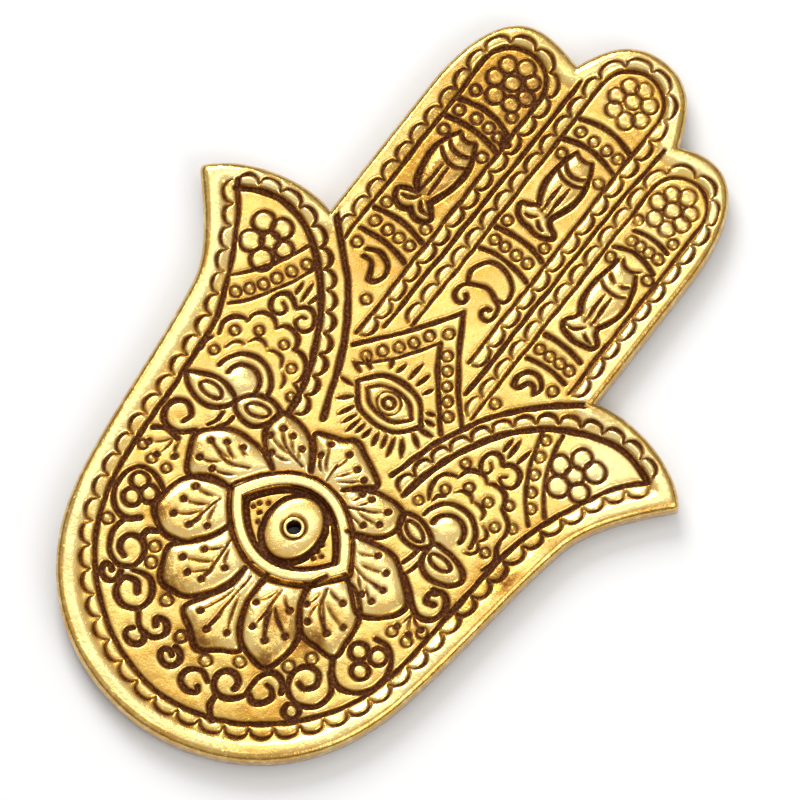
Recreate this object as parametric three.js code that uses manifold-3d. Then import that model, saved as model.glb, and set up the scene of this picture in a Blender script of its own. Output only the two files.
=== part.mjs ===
// Hamsa incense holder: a cast metal dish shaped as an open hand, with an eye in the palm.
// The pupil of the eye is a socket for one stick.
// Millimetres. The dish lies flat with its fingers along +Y and its relief facing +Z.
// The origin is the middle of its footprint, on the table.

import * as THREE from 'three';
import { mergeVertices } from 'three/addons/utils/BufferGeometryUtils.js';
import Module from 'manifold-3d';

const wasm = await Module();
wasm.setup();

// Outline of the hand: heights run from the wrist edge, half widths from the middle line
const PALM_LENGTH = 86.6; // wrist edge to the notch between thumb and finger
const PALM_SIDE_HEIGHT = 28.3; // where the round of the wrist ends
const PALM_HALF_WIDTH = 32.4; // at that height
const WRIST_FULLNESS = 9.1; // how far the wrist edge runs on before it turns up
const PALM_FULLNESS = 23.5; // how far the palm's side runs down before it turns in
const PALM_LEAN = 0.19; // outward lean of the palm's side, per millimetre of height
const WAIST_HEIGHT = 63.7; // where the thumb starts to flare
const WAIST_HALF_WIDTH = 37.2;
const WAIST_LEAN = 0.19;
const THUMB_HALF_SPAN = 48.1; // middle line to the tip of a thumb
const LEFT_THUMB_DROP = 6.8; // thumb tip below the notch
const RIGHT_THUMB_DROP = 6;
const THUMB_FLARE_LEAN = 0.93;
const THUMB_CREST = 2.2; // how far the handles of the thumb's upper edge stand over the notch
const FINGER_HALF_WIDTH = 26.8; // the three fingers together
const LEFT_FINGER_LENGTH = 44.7; // thumb notch to the top of the left finger
const RIGHT_FINGER_LENGTH = 43.8;
const FINGER_TOP_OFFSET = 16.9; // middle line to the top of a side finger
const FINGER_SHOULDER = 18.4; // height of the round at the top of a side finger
const FINGER_NOTCH_DEPTH = 1.2; // side finger's top to the notch beside the middle finger
const MIDDLE_HALF_WIDTH = 10.7; // middle finger at its notches
const MIDDLE_SHIFT = 1; // the middle finger stands a little to the right
const MIDDLE_RISE = 9.6; // mean height of the two notches to the tip of the middle finger
const THUMB_TIP_PITCH = 1.43; // rise of the thumb's upper edge at its tip, per millimetre
const SHOULDER_FULLNESS = 0.75; // share of a side finger's top that stays level
const TIP_LEAN = 0.41; // inward lean of the middle finger at its notches, per millimetre of height
const TIP_FULLNESS = 0.61; // share of the middle finger's top that stays level

// Section of the dish
const FIELD_THICKNESS = 3.3;
const RIM_HEIGHT = 0.6; // rim over the field
const RIM_CREST = 1; // width of the level top of the rim
const RIM_SLOPE = 1.2; // width of the slope from the rim down to the field
const EDGE_ROUND = 0.8; // round at the outer top edge
const EDGE_BREAK = 0.4; // bevel at the outer bottom edge

// Eye in the palm
const EYE_HEIGHT = 40.7; // corners of the eye over the zero of the ornament
const EYE_SHIFT = 0.4;
const EYE_HALF_WIDTH = 11.9;
const EYE_RISE = 9.5; // corners to the top of the lid
const EYE_DROP = 8.3;
const LID_FULLNESS = 0.48; // share of a lid's top that stays level
const LID_WIDTH = 2.3;
const LID_HEIGHT = 1.1; // lid over the field
const LID_ROUND = 0.5;
const RECESS_DEPTH = 0.9; // floor of the eye under the field

// Carving: cut lines and raised patches
const ORNAMENT_SHIFT = 0.25; // zero of the ornament beside the middle line
const ORNAMENT_DROP = 0.74; // and under the wrist edge
const CUT_DEPTH = 0.5;
const CUT_HALF_WIDTH = 0.5;
const CUT_OVERRUN = 1.5; // how far a cut is open over the field
const SINK = 0.6; // how far raised shapes reach down into the dish, past the bottom of a cut
const RAISED_SHOULDER = 0.5; // share of a raised patch that its rounded shoulder takes up
const PETAL_HEIGHT = 0.75; // heights over the field
const FISH_HEIGHT = 0.55;
const LEAF_HEIGHT = 0.3;
const FLOWER_HEIGHT = 0.25;

// Scallops beside a line: feet and crowns by their distance from it
const PALM_SCALLOP = { pitch: 3.9, foot: 1.15, crown: 2.5 };
const FINGER_SCALLOP = { pitch: 3.9, foot: 1.1, crown: 1.9 };
const SCALLOP_LOBE = [[0, 0], [0.25, 0.9], [0.75, 0.9]]; // shares of the pitch and of the way to the crown

// Line round the palm from the right thumb down to the middle of the wrist
const PALM_LINE = [
  [41.3, 82], [37, 77], [33.8, 70.5], [31.6, 64.5], [30.3, 59.5], [29.3, 50], [28.9, 42], [28.3, 35],
  [27.1, 28.5], [24.9, 22.9], [20.7, 16.8], [15.2, 11.9], [8.5, 8.4], [0, 6.8],
];

// Thumbs: a scalloped line along the upper edge, a line inside it, a flower, and bands by ends and rise
const THUMBS = [
  {
    side: 1,
    edge: [
      [-41.3, 81], [-38, 83], [-34, 83.9], [-30, 83.2], [-26, 81.2], [-21.5, 77.2], [-17.5, 72],
      [-14.5, 66.5], [-12.7, 61], [-11.8, 56.5],
    ],
    inner: [
      [-26.2, 87.7], [-22.5, 84.2], [-18, 80], [-14.5, 75.5], [-12, 71.3], [-10, 67], [-8.2, 62.5],
      [-6.8, 58.8],
    ],
    flower: [-31.8, 77.5],
    bands: [[[-26, 81], [-33, 69], 0.8], [[-23, 78.3], [-30.5, 65], 0.8]],
  },
  {
    side: -1,
    edge: [
      [41, 82], [37.5, 83.3], [33, 83.5], [28.5, 82.3], [24, 80], [19.5, 76], [16, 71.3], [13.5, 66],
      [12, 61], [11.2, 56.5],
    ],
    inner: [
      [25.8, 86.3], [21.5, 82.9], [17.5, 78.9], [14.3, 74.8], [12, 70.8], [10.2, 66.5], [8.8, 62],
      [7.8, 58],
    ],
    flower: [31.2, 75.7],
    bands: [[[25.6, 80], [31.6, 67.2], -1.2], [[22.7, 78.3], [30.3, 64.4], -1.2]],
  },
];
const THUMB_FLOWER = { petals: 6, reach: 4.2 };

// Fingers: an arch by the places and feet of its sides and its crown, with a flower, bands and a fish in it
const FINGERS = [
  {
    left: -22.4, leftFoot: 85.2, right: -11.2, rightFoot: 73.5, crown: 127.9,
    flower: [-16.4, 121.9],
    bands: [
      [[-21.6, 114.9], [-11.8, 114.5], 1.1], [[-21.6, 111.3], [-11.8, 111.2], 0.8],
      [[-21.6, 92], [-12, 91.9], 0.8], [[-21.3, 87.9], [-12, 87.5], 0.7],
    ],
    fish: { x: -16.3, head: 110.4, tail: 94.3, halfWidth: 3.75 },
  },
  {
    left: -4.7, leftFoot: 80, right: 6.2, rightFoot: 80.5, crown: 136.3,
    flower: [1, 131.1],
    bands: [
      [[-4.1, 124], [5.7, 124], 1.1], [[-4.1, 119.7], [5.7, 119.7], 1.1],
      [[-4, 101.2], [5.5, 101], 0.8], [[-4, 96.9], [5.5, 96.8], 0.8],
    ],
    fish: { x: 0.9, head: 118.9, tail: 104.1, halfWidth: 3.3 },
  },
  {
    left: 12.3, leftFoot: 73.2, right: 22.2, rightFoot: 86, crown: 126.4,
    flower: [17.2, 120.4],
    bands: [
      [[13.1, 114], [21.4, 113.9], 0.9], [[12.9, 110.1], [21.6, 110.2], 0.8],
      [[13.2, 91.7], [21.3, 91.3], 0.3], [[13, 86.8], [21.6, 86.9], 0.5],
    ],
    fish: { x: 17.6, head: 109.3, tail: 93.6, halfWidth: 3.7 },
  },
];
const FINGER_FLOWER = { petals: 7, reach: 4.3 };
const FLOWER_NOTCH = 0.74; // reach between two petals of a flower, as a share of its reach

// Fish: shares of its half width, and of its length from the tail
const FISH_BACK = [[0.62, 1], [0.95, 0.84], [1, 0.64], [0.82, 0.42], [0.5, 0.25]];
const FISH_TAIL = [
  [-0.5, 0.25], [-1.05, 0.12], [-0.35, 0.05], [0, 0.1], [0.35, 0.02], [1, 0.09], [0.5, 0.25],
];

// Plain lines: between the fingers, over the small eye, and the lids of that eye
const PLAIN_LINES = [
  [[-7.7, 129], [-8.3, 77]],
  [[9.9, 127.8], [9.3, 112], [9, 76]],
  [[-10.4, 71.6], [-7, 75.8], [0.4, 86.6], [3.3, 82], [7.3, 76.3], [11.8, 71.2]],
  [[-9.5, 69.6], [-6.2, 71.5], [-3.6, 74.6], [0.6, 80.6], [2.7, 77.3], [5.5, 73.8], [10.4, 69.4]],
  [
    [-6.4, 67.2], [-3.1, 70.2], [0.2, 70.95], [3.5, 70.2], [6.8, 67.2], [3.5, 64.2], [0.2, 63.45],
    [-3.1, 64.2], [-6.4, 67.2],
  ],
];

// Fans beside the lotus: domes in half rings, and the pairs of leaves under them
const FANS = [[-21, 55.9], [20.4, 55.9]];
const FAN_DOME = 2.6;
const FAN_RING = 4.6;
const FAN_HEIGHT = 0.35;
const LEAVES = [
  [[-28.9, 51.7], [-26.5, 53.3], [-23.5, 54], [-20, 53], [-20.6, 51], [-23, 49.3], [-26, 49.6]],
  [[-19.7, 52.8], [-18, 55.3], [-15, 56.2], [-12.8, 55.3], [-13.3, 53], [-15.2, 51], [-18.3, 51.2]],
  [[13.1, 54.2], [15.5, 54.9], [18.2, 54], [19.7, 52.8], [18.4, 50.9], [15.6, 50.6], [13.7, 51.8]],
  [[19.8, 52.9], [22.5, 53.3], [25.8, 52.3], [27.3, 50.6], [25.8, 48.6], [22.6, 47.9], [20.2, 49.3]],
];

// Lotus round the eye: each petal from root to root
const PETALS = [
  [
    [-2.9, 50.6], [-4.4, 53.5], [-6.3, 56.1], [-2.6, 57.6], [0, 59], [2.7, 57.8], [7, 55.3], [5, 53.2],
    [3, 51.2],
  ],
  [[-3, 50.6], [-4.6, 53.2], [-7.4, 55.4], [-12.2, 55.8], [-13.1, 52.3], [-11.4, 49.5], [-8, 47.2]],
  [[3, 51.2], [5.6, 53.4], [9, 54.5], [12.7, 54.2], [13.8, 51.2], [12.3, 48.3], [7.8, 46]],
  [
    [-8, 47.2], [-12.5, 48.9], [-17.6, 48.5], [-21.4, 45], [-20.6, 41.5], [-18.3, 38.4], [-14.5, 40],
    [-11.5, 40.7],
  ],
  [
    [7.8, 46], [12.3, 47.2], [16, 47.4], [19.5, 45.3], [22.7, 42.2], [21.5, 38.8], [17.5, 36.4],
    [14.6, 38.2], [12.5, 39.9],
  ],
  [
    [-11.2, 40.7], [-15.3, 40.2], [-18.6, 37.2], [-19.6, 33.2], [-19.2, 30.3], [-15.6, 28.2],
    [-11.7, 29.4], [-9, 33], [-7.9, 36],
  ],
  [
    [12.5, 39.7], [15.3, 38.6], [17.8, 36], [18.7, 31.8], [18.6, 28.2], [15, 27.9], [11.8, 28.3],
    [9.2, 31.6], [8.3, 35], [9.6, 38],
  ],
  [
    [-7.9, 36], [-9.2, 32.6], [-11.5, 29.6], [-13.6, 27.2], [-12.8, 24.3], [-11, 21.6], [-6.6, 22.1],
    [-3.6, 25.2], [-2, 28.6], [-1.8, 31.7],
  ],
  [
    [1.8, 31.7], [2, 27.6], [3.6, 23.6], [6.2, 20.9], [11, 20.2], [12.3, 24.3], [11.9, 27.8], [9.4, 31.4],
    [8.2, 34.6],
  ],
  [
    [-1.7, 31.7], [-1.9, 28], [-3.6, 24.4], [-5.6, 20.5], [-2.6, 18], [0.3, 16], [3.2, 18], [5.9, 20.2],
    [3.4, 23.4], [2, 27.6], [1.7, 31.7],
  ],
];

// Scrolls on both sides of the lotus and under it
const SCROLLS = [
  [[-24.4, 45], [-25.8, 47.9], [-28, 44.7], [-24.2, 43], [-22, 44.8]],
  [[-27.7, 41.3], [-26, 42.4], [-23.5, 42.2]],
  [
    [-20.2, 34], [-22.6, 35], [-25.2, 34.8], [-26.7, 32.4], [-26.4, 29.2], [-24.6, 27], [-22, 26.6],
    [-20.2, 28],
  ],
  [
    [-22, 26.8], [-22.6, 23.6], [-21.2, 20.6], [-18.8, 19.7], [-16.4, 20.9], [-16.6, 23.2], [-18.6, 23.8],
    [-20, 22.6],
  ],
  [
    [-15.8, 20.4], [-12.8, 20.9], [-10.9, 18.8], [-11.2, 16], [-13.6, 14.8], [-16, 16], [-16.2, 18.4],
    [-14.3, 19.2],
  ],
  [[-10.8, 15.4], [-9.2, 13.6], [-6.6, 13.4], [-5.4, 15.2], [-6.4, 16.8], [-8, 16.4]],
  [[-4, 11.6], [-3.4, 13.2], [-1.4, 13.5], [-0.8, 12], [-1.8, 10.9]],
  [[24.5, 46.8], [26.5, 47.2], [28, 45.4], [27.6, 43], [25.6, 41.9], [23.6, 42.6], [19.2, 46]],
  [
    [22, 34.8], [24.2, 34.9], [26.4, 33.2], [27.2, 30.2], [26, 26.8], [22.8, 24.9], [20.2, 25.8],
    [18.8, 27.8],
  ],
  [
    [19.6, 26], [21.7, 23.4], [21.2, 20.2], [18.4, 18.6], [15.8, 19.8], [15, 22.6], [16.2, 24.6],
    [18.2, 24.8], [19.2, 23],
  ],
  [[10.8, 15.2], [12.6, 14.6], [14.3, 15.8], [14.1, 17.6], [12.9, 18]],
  [[5.4, 14.4], [6.2, 12.6], [8.4, 11.9], [10.6, 12.8], [10.9, 15.4]],
  [[5, 12.9], [3, 13.7], [1.2, 12.4], [1.2, 10.6], [2.9, 9.8], [4.6, 10.4]],
];

// Iris boss, stick socket and feet
const IRIS_RISE = 0.7; // middle of the iris over the corners of the eye
const IRIS_SHIFT = 0.2; // middle of the iris beside the middle of the eye
const IRIS_HALF_WIDTH = 4.3;
const IRIS_HALF_HEIGHT = 5.5;
const IRIS_CROWN = 1.9; // top of the iris over the floor of the eye
const IRIS_EDGE = 0.5; // upright edge of the iris under its dome
const BORE_RADIUS = 1.15; // takes a stick of up to 2 mm
const SOCKET_WALL = 0.6;
const SOCKET_SINK = 0.15; // top of the socket under the crown of the iris
const PUPIL_GROOVE = 0.6; // open ring between the socket and the iris
const FLANGE_WIDTH = 1.3; // flange of the socket, trapped under the iris
const FLANGE_THICKNESS = 0.8;
const SEAT_GAP = 0.3; // clearance round what is let into the dish
const PAD_RADIUS = 4.75;
const PAD_THICKNESS = 1.6;
const PAD_BEVEL = 0.3;
const FRONT_PAD_OFFSET = 19; // middle line to a pad under the fingers
const FRONT_PAD_HEIGHT = 27; // those pads over the thumb notch
const BACK_PAD_OFFSET = 20;
const BACK_PAD_HEIGHT = 25; // pads under the palm, over the wrist edge

// Facets
const OUTLINE_FACET = 2.8; // longest step along the outline
const CARVING_FACET = 4; // longest step along a carved line
const LID_STEPS = 16; // steps on one lid of the eye
const PETAL_STEPS = 14; // fewest steps round a petal of the lotus
const FLOWER_STEPS = 3; // steps round a petal of a flower
const FAN_STEPS = 12; // steps round a fan
const ROUND_STEPS = 32; // steps round a turned piece
const DOME_STEPS = 6;

// Heights over the table
const UNDERSIDE = PAD_THICKNESS;
const FIELD = UNDERSIDE + FIELD_THICKNESS;
const CREST = FIELD + RIM_HEIGHT;
const EYE_FLOOR = FIELD - RECESS_DEPTH;
const FLANGE_SEAT = EYE_FLOOR - FLANGE_THICKNESS;
const IRIS_TOP = EYE_FLOOR + IRIS_CROWN;

const point = (x, y) => new THREE.Vector2(x, y);

// Sizes that follow from the ones above
const SOCKET_RADIUS = BORE_RADIUS + SOCKET_WALL;
const FLANGE_RADIUS = SOCKET_RADIUS + FLANGE_WIDTH;
const LEFT_FINGER_TOP = PALM_LENGTH + LEFT_FINGER_LENGTH;
const RIGHT_FINGER_TOP = PALM_LENGTH + RIGHT_FINGER_LENGTH;
const MIDDLE_TIP = (LEFT_FINGER_TOP + RIGHT_FINGER_TOP) / 2 - FINGER_NOTCH_DEPTH + MIDDLE_RISE;
const MIDDLE_Y = MIDDLE_TIP / 2; // half the length of the hand, where the origin lies
const mark = ([x, y]) => point(x + ORNAMENT_SHIFT, y - ORNAMENT_DROP - MIDDLE_Y);
const EYE_CENTRE = mark([EYE_SHIFT, EYE_HEIGHT]);
const IRIS_CENTRE = mark([EYE_SHIFT + IRIS_SHIFT, EYE_HEIGHT + IRIS_RISE]);

const metal = (name, colour, roughness) =>
  new THREE.MeshStandardMaterial({ name, color: colour, roughness, metalness: 1 });
const GOLD = 0xe2b13c;
const POLISHED_GOLD = 0xf0c95a;
const FELT = 0x3a2a22;

// One side of the hand from the wrist to the tip of the middle finger, as a chain of curve ends and handles.
// Every third point is an end, and the two between them are handles.
function sideOfHand(side, fingerTop, thumbDrop) {
  const at = (x, y) => point(side * x, y);
  const flareEnd = PALM_LENGTH - thumbDrop;
  const sideRun = (WAIST_HEIGHT - PALM_SIDE_HEIGHT) / 3;
  const flareRun = (flareEnd - WAIST_HEIGHT) / 3;
  const thumbRun = (THUMB_HALF_SPAN - FINGER_HALF_WIDTH) / 3;
  const shoulder = fingerTop - FINGER_SHOULDER;
  const fingerRun = (shoulder - PALM_LENGTH) / 3;
  const shoulderWidth = FINGER_HALF_WIDTH - FINGER_TOP_OFFSET;
  const notchX = MIDDLE_HALF_WIDTH + side * MIDDLE_SHIFT;
  const notchRun = (FINGER_TOP_OFFSET - notchX) / 3;
  const notch = fingerTop - FINGER_NOTCH_DEPTH;
  const tipRun = (MIDDLE_TIP - notch) / 2;
  return [
    at(0, 0),
    at(WRIST_FULLNESS, 0),
    at(PALM_HALF_WIDTH - PALM_LEAN * PALM_FULLNESS, PALM_SIDE_HEIGHT - PALM_FULLNESS),
    at(PALM_HALF_WIDTH, PALM_SIDE_HEIGHT),
    at(PALM_HALF_WIDTH + PALM_LEAN * sideRun, PALM_SIDE_HEIGHT + sideRun),
    at(WAIST_HALF_WIDTH - WAIST_LEAN * sideRun, WAIST_HEIGHT - sideRun),
    at(WAIST_HALF_WIDTH, WAIST_HEIGHT),
    at(WAIST_HALF_WIDTH + WAIST_LEAN * flareRun, WAIST_HEIGHT + flareRun),
    at(THUMB_HALF_SPAN - THUMB_FLARE_LEAN * flareRun, flareEnd - flareRun),
    at(THUMB_HALF_SPAN, flareEnd),
    at(THUMB_HALF_SPAN - thumbRun / 2, flareEnd + (THUMB_TIP_PITCH * thumbRun) / 2),
    at(FINGER_HALF_WIDTH + thumbRun, PALM_LENGTH + THUMB_CREST),
    at(FINGER_HALF_WIDTH, PALM_LENGTH),
    at(FINGER_HALF_WIDTH, PALM_LENGTH + fingerRun),
    at(FINGER_HALF_WIDTH, shoulder - fingerRun),
    at(FINGER_HALF_WIDTH, shoulder),
    at(FINGER_HALF_WIDTH, shoulder + FINGER_SHOULDER / 2),
    at(FINGER_TOP_OFFSET + shoulderWidth * SHOULDER_FULLNESS, fingerTop),
    at(FINGER_TOP_OFFSET, fingerTop),
    at(FINGER_TOP_OFFSET - notchRun, fingerTop),
    at(notchX + notchRun, notch + FINGER_NOTCH_DEPTH / 2),
    at(notchX, notch),
    at(notchX - TIP_LEAN * tipRun, notch + tipRun),
    at(side * MIDDLE_SHIFT + MIDDLE_HALF_WIDTH * TIP_FULLNESS, MIDDLE_TIP),
    at(side * MIDDLE_SHIFT, MIDDLE_TIP),
  ];
}

// The whole outline, anticlockwise from the wrist, as ends and handles of curves around the origin.
function handOutline() {
  const right = sideOfHand(1, RIGHT_FINGER_TOP, RIGHT_THUMB_DROP);
  const left = sideOfHand(-1, LEFT_FINGER_TOP, LEFT_THUMB_DROP).reverse();
  const chain = [...right, ...left.slice(1, -1)];
  return chain.map((p) => point(p.x, p.y - MIDDLE_Y));
}

// An almond around the middle of the eye: two lids that meet in the corners.
function eyeOutline() {
  const handle = EYE_HALF_WIDTH * LID_FULLNESS;
  const upper = (EYE_RISE * 4) / 3; // a curve rises to three quarters of the height of its handles
  const lower = (EYE_DROP * 4) / 3;
  const chain = [
    point(-EYE_HALF_WIDTH, 0),
    point(-handle, -lower),
    point(handle, -lower),
    point(EYE_HALF_WIDTH, 0),
    point(handle, upper),
    point(-handle, upper),
  ];
  return chain.map((p) => p.add(EYE_CENTRE));
}

// Moves each leg of an anticlockwise chain of ends and handles inwards, and joins the legs where they cross.
function inset(chain, distance) {
  return chain.map((here, i) => {
    const before = chain.at(i - 1);
    const after = chain[(i + 1) % chain.length];
    const arriving = here.clone().sub(before).normalize();
    const leaving = after.clone().sub(here).normalize();
    const mitre = point(-arriving.y - leaving.y, arriving.x + leaving.x);
    return here.clone().addScaledVector(mitre, (2 * distance) / mitre.lengthSq());
  });
}

// Points along a closed chain. `steps` gives the number of steps on each of its curves.
function alongChain(chain, steps) {
  const points = [];
  steps.forEach((count, curveIndex) => {
    const first = 3 * curveIndex;
    const last = chain[(first + 3) % chain.length];
    const curve = new THREE.CubicBezierCurve(chain[first], chain[first + 1], chain[first + 2], last);
    points.push(...curve.getPoints(count).slice(0, -1));
  });
  return points;
}

// Steps for each curve of a chain, so that none is longer than `facet`.
function stepsFor(chain, facet) {
  const steps = [];
  for (let first = 0; first < chain.length; first += 3) {
    const last = chain[(first + 3) % chain.length];
    const curve = new THREE.CubicBezierCurve(chain[first], chain[first + 1], chain[first + 2], last);
    steps.push(Math.max(2, Math.ceil(curve.getLength() / facet)));
  }
  return steps;
}

// A closed skin through rings of equal counts, from the bottom ring to the top one, with flat ends.
function skin(rings) {
  const count = rings[0].points.length;
  const positions = rings.flatMap(({ points, z }) => points.flatMap((p) => [p.x, p.y, z]));
  const index = [];
  for (let ring = 0; ring + 1 < rings.length; ring++) {
    for (let i = 0; i < count; i++) {
      const a = ring * count + i;
      const b = ring * count + ((i + 1) % count);
      index.push(a, b, b + count, a, b + count, a + count);
    }
  }
  const top = (rings.length - 1) * count;
  for (const [a, b, c] of THREE.ShapeUtils.triangulateShape(rings[0].points, [])) {
    index.push(a, c, b);
  }
  for (const [a, b, c] of THREE.ShapeUtils.triangulateShape(rings.at(-1).points, [])) {
    index.push(top + a, top + b, top + c);
  }
  const geometry = new THREE.BufferGeometry();
  geometry.setAttribute('position', new THREE.Float32BufferAttribute(positions, 3));
  geometry.setIndex(index);
  return geometry;
}

// A closed geometry as a solid that can be joined and cut.
function solid(geometry) {
  const bare = geometry.clone();
  bare.deleteAttribute('normal');
  bare.deleteAttribute('uv');
  const merged = mergeVertices(bare);
  const corners = merged.getIndex().array;
  const kept = [];
  for (let i = 0; i < corners.length; i += 3) {
    const [a, b, c] = [corners[i], corners[i + 1], corners[i + 2]];
    if (a !== b && b !== c && c !== a) {
      kept.push(a, b, c);
    }
  }
  const mesh = new wasm.Mesh({
    numProp: 3,
    vertProperties: new Float32Array(merged.getAttribute('position').array),
    triVerts: new Uint32Array(kept),
  });
  return new wasm.Manifold(mesh);
}

// A solid back as a geometry.
function geometryOf(body) {
  const mesh = body.getMesh();
  const geometry = new THREE.BufferGeometry();
  geometry.setAttribute('position', new THREE.BufferAttribute(new Float32Array(mesh.vertProperties), 3));
  geometry.setIndex(new THREE.BufferAttribute(new Uint32Array(mesh.triVerts), 1));
  geometry.computeVertexNormals();
  return geometry;
}

// A turned piece about the upright axis, from [radius, height] pairs that start and end on the axis.
function turned(profile) {
  const points = profile.map(([radius, height]) => point(radius, height));
  return new THREE.LatheGeometry(points, ROUND_STEPS).rotateX(Math.PI / 2);
}

// A round pin between two heights, for drilling.
function drill(radius, bottom, top) {
  return solid(turned([[0, bottom], [radius, bottom], [radius, top], [0, top]]));
}

// The dish: level underside, rounded edge, raised rim and level field.
function dish() {
  const outline = handOutline();
  const steps = stepsFor(outline, OUTLINE_FACET);
  const innerEdge = EDGE_ROUND + RIM_CREST;
  const section = [
    [EDGE_BREAK, UNDERSIDE],
    [0, UNDERSIDE + EDGE_BREAK],
    [0, CREST - EDGE_ROUND],
    [EDGE_ROUND * (1 - Math.SQRT1_2), CREST - EDGE_ROUND * (1 - Math.SQRT1_2)],
    [EDGE_ROUND, CREST],
    [innerEdge, CREST],
    [innerEdge + RIM_SLOPE / 2, FIELD + RIM_HEIGHT / 2],
    [innerEdge + RIM_SLOPE, FIELD],
  ];
  return skin(section.map(([distance, z]) => ({ points: alongChain(inset(outline, distance), steps), z })));
}

// A smooth curve through marked points.
const lineThrough = (marks) => new THREE.SplineCurve(marks.map(mark));

// Points along a curve, in steps no longer than the facet of the carving.
function carvedPoints(curve, fewest) {
  return curve.getSpacedPoints(Math.max(fewest, Math.ceil(curve.getLength() / CARVING_FACET)));
}

// A cutter along a line: a V under the field with upright sides over it.
function cutter(path) {
  const section = [
    [-CUT_HALF_WIDTH, FIELD + CUT_OVERRUN],
    [-CUT_HALF_WIDTH, FIELD],
    [0, FIELD - CUT_DEPTH],
    [CUT_HALF_WIDTH, FIELD],
    [CUT_HALF_WIDTH, FIELD + CUT_OVERRUN],
  ];
  const count = section.length;
  const last = (path.length - 1) * count;
  const positions = path.flatMap((here, i) => {
    const before = path[Math.max(i - 1, 0)];
    const after = path[Math.min(i + 1, path.length - 1)];
    const heading = after.clone().sub(before).normalize();
    return section.flatMap(([offset, z]) => [here.x + heading.y * offset, here.y - heading.x * offset, z]);
  });
  const index = [];
  for (let ring = 0; ring < last; ring += count) {
    for (let i = 0; i < count; i++) {
      const a = ring + i;
      const b = ring + ((i + 1) % count);
      index.push(a, b + count, b, a, a + count, b + count);
    }
  }
  for (let i = 1; i + 1 < count; i++) {
    index.push(0, i, i + 1, last, last + i + 1, last + i);
  }
  const geometry = new THREE.BufferGeometry();
  geometry.setAttribute('position', new THREE.Float32BufferAttribute(positions, 3));
  geometry.setIndex(index);
  return solid(geometry);
}

// A cutter along a smooth line through marked points.
const lineCutter = (marks) => cutter(carvedPoints(lineThrough(marks), marks.length - 1));

// A cutter along a row of round lobes beside a curve, on its left where side is 1.
function scallopCutter(curve, side, { pitch, foot, crown }) {
  const lobes = Math.round(curve.getLength() / pitch);
  const path = [];
  for (let i = 0; i <= lobes; i++) {
    for (const [along, out] of i < lobes ? SCALLOP_LOBE : SCALLOP_LOBE.slice(0, 1)) {
      const place = (i + along) / lobes;
      const heading = curve.getTangentAt(place);
      const distance = side * (foot + (crown - foot) * out);
      path.push(curve.getPointAt(place).add(point(-heading.y, heading.x).multiplyScalar(distance)));
    }
  }
  return cutter(path);
}

// A cutter along a band: a shallow bow between two marks.
function bandCutter([start, end, rise]) {
  const [first, last] = [mark(start), mark(end)];
  const chord = last.clone().sub(first).normalize();
  const middle = first.clone().lerp(last, 0.5).add(point(-chord.y, chord.x).multiplyScalar(rise));
  return cutter([first, middle, last]);
}

// A patch that swells from the field to a level top, with a rounded shoulder.
function raised(outline, height) {
  const edge = THREE.ShapeUtils.isClockWise(outline) ? [...outline].reverse() : outline;
  const heart = edge.reduce((sum, p) => sum.add(p), point(0, 0)).divideScalar(edge.length);
  const ring = (share, z) => ({ points: edge.map((p) => p.clone().lerp(heart, share)), z });
  const rings = [ring(0, FIELD - SINK), ring(0, FIELD)];
  for (const slope of [Math.PI / 4, Math.PI / 2]) {
    rings.push(ring(RAISED_SHOULDER * (1 - Math.cos(slope)), FIELD + height * Math.sin(slope)));
  }
  return solid(skin(rings));
}

// The raised dome of a fan.
function fanDome(centre) {
  const edge = new THREE.EllipseCurve(centre.x, centre.y, FAN_DOME, FAN_DOME);
  return raised(edge.getPoints(FAN_STEPS).slice(0, -1), FAN_HEIGHT);
}

// A raised flower: a round with a notch between each two petals.
function flower(centre, { petals, reach }) {
  const outline = [];
  const steps = petals * FLOWER_STEPS;
  for (let i = 0; i < steps; i++) {
    const angle = (2 * Math.PI * i) / steps;
    const radius = reach * (FLOWER_NOTCH + (1 - FLOWER_NOTCH) * Math.abs(Math.sin((petals * angle) / 2)));
    outline.push(point(radius * Math.cos(angle), radius * Math.sin(angle)).add(mark(centre)));
  }
  return raised(outline, FLOWER_HEIGHT);
}

// The arch in a finger, up its left side and down its right side.
function fingerArch({ left, leftFoot, right, rightFoot, crown }) {
  const radius = (right - left) / 2;
  const spring = crown - radius;
  const start = mark([left, leftFoot]);
  const shoulder = mark([left, spring]);
  const centre = mark([left + radius, spring]);
  const end = mark([right, rightFoot]);
  const path = new THREE.Path();
  path.moveTo(start.x, start.y);
  path.lineTo(shoulder.x, shoulder.y);
  path.absarc(centre.x, centre.y, radius, Math.PI, 0, true);
  path.lineTo(end.x, end.y);
  return path;
}

// Marks of a fish by shares of its half width and of its length from the tail.
const fishMarks = ({ x, head, tail, halfWidth }, shares) =>
  shares.map(([across, along]) => [x + across * halfWidth, tail + along * (head - tail)]);

const mirrored = (pairs) => pairs.map(([x, y]) => [-x, y]);

// Everything that stands over the field.
function raisedPatches() {
  const petals = PETALS.map((marks) => carvedPoints(lineThrough(marks), PETAL_STEPS));
  const patches = petals.map((outline) => raised(outline, PETAL_HEIGHT));
  for (const { flower: centre, fish } of FINGERS) {
    const back = fishMarks(fish, [...FISH_BACK, ...mirrored(FISH_BACK).reverse()]);
    patches.push(flower(centre, FINGER_FLOWER), raised(back.map(mark), FISH_HEIGHT));
  }
  patches.push(...THUMBS.map((thumb) => flower(thumb.flower, THUMB_FLOWER)));
  patches.push(...LEAVES.map((marks) => raised(marks.map(mark), LEAF_HEIGHT)));
  patches.push(...FANS.map((centre) => fanDome(mark(centre))));
  return patches;
}

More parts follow.
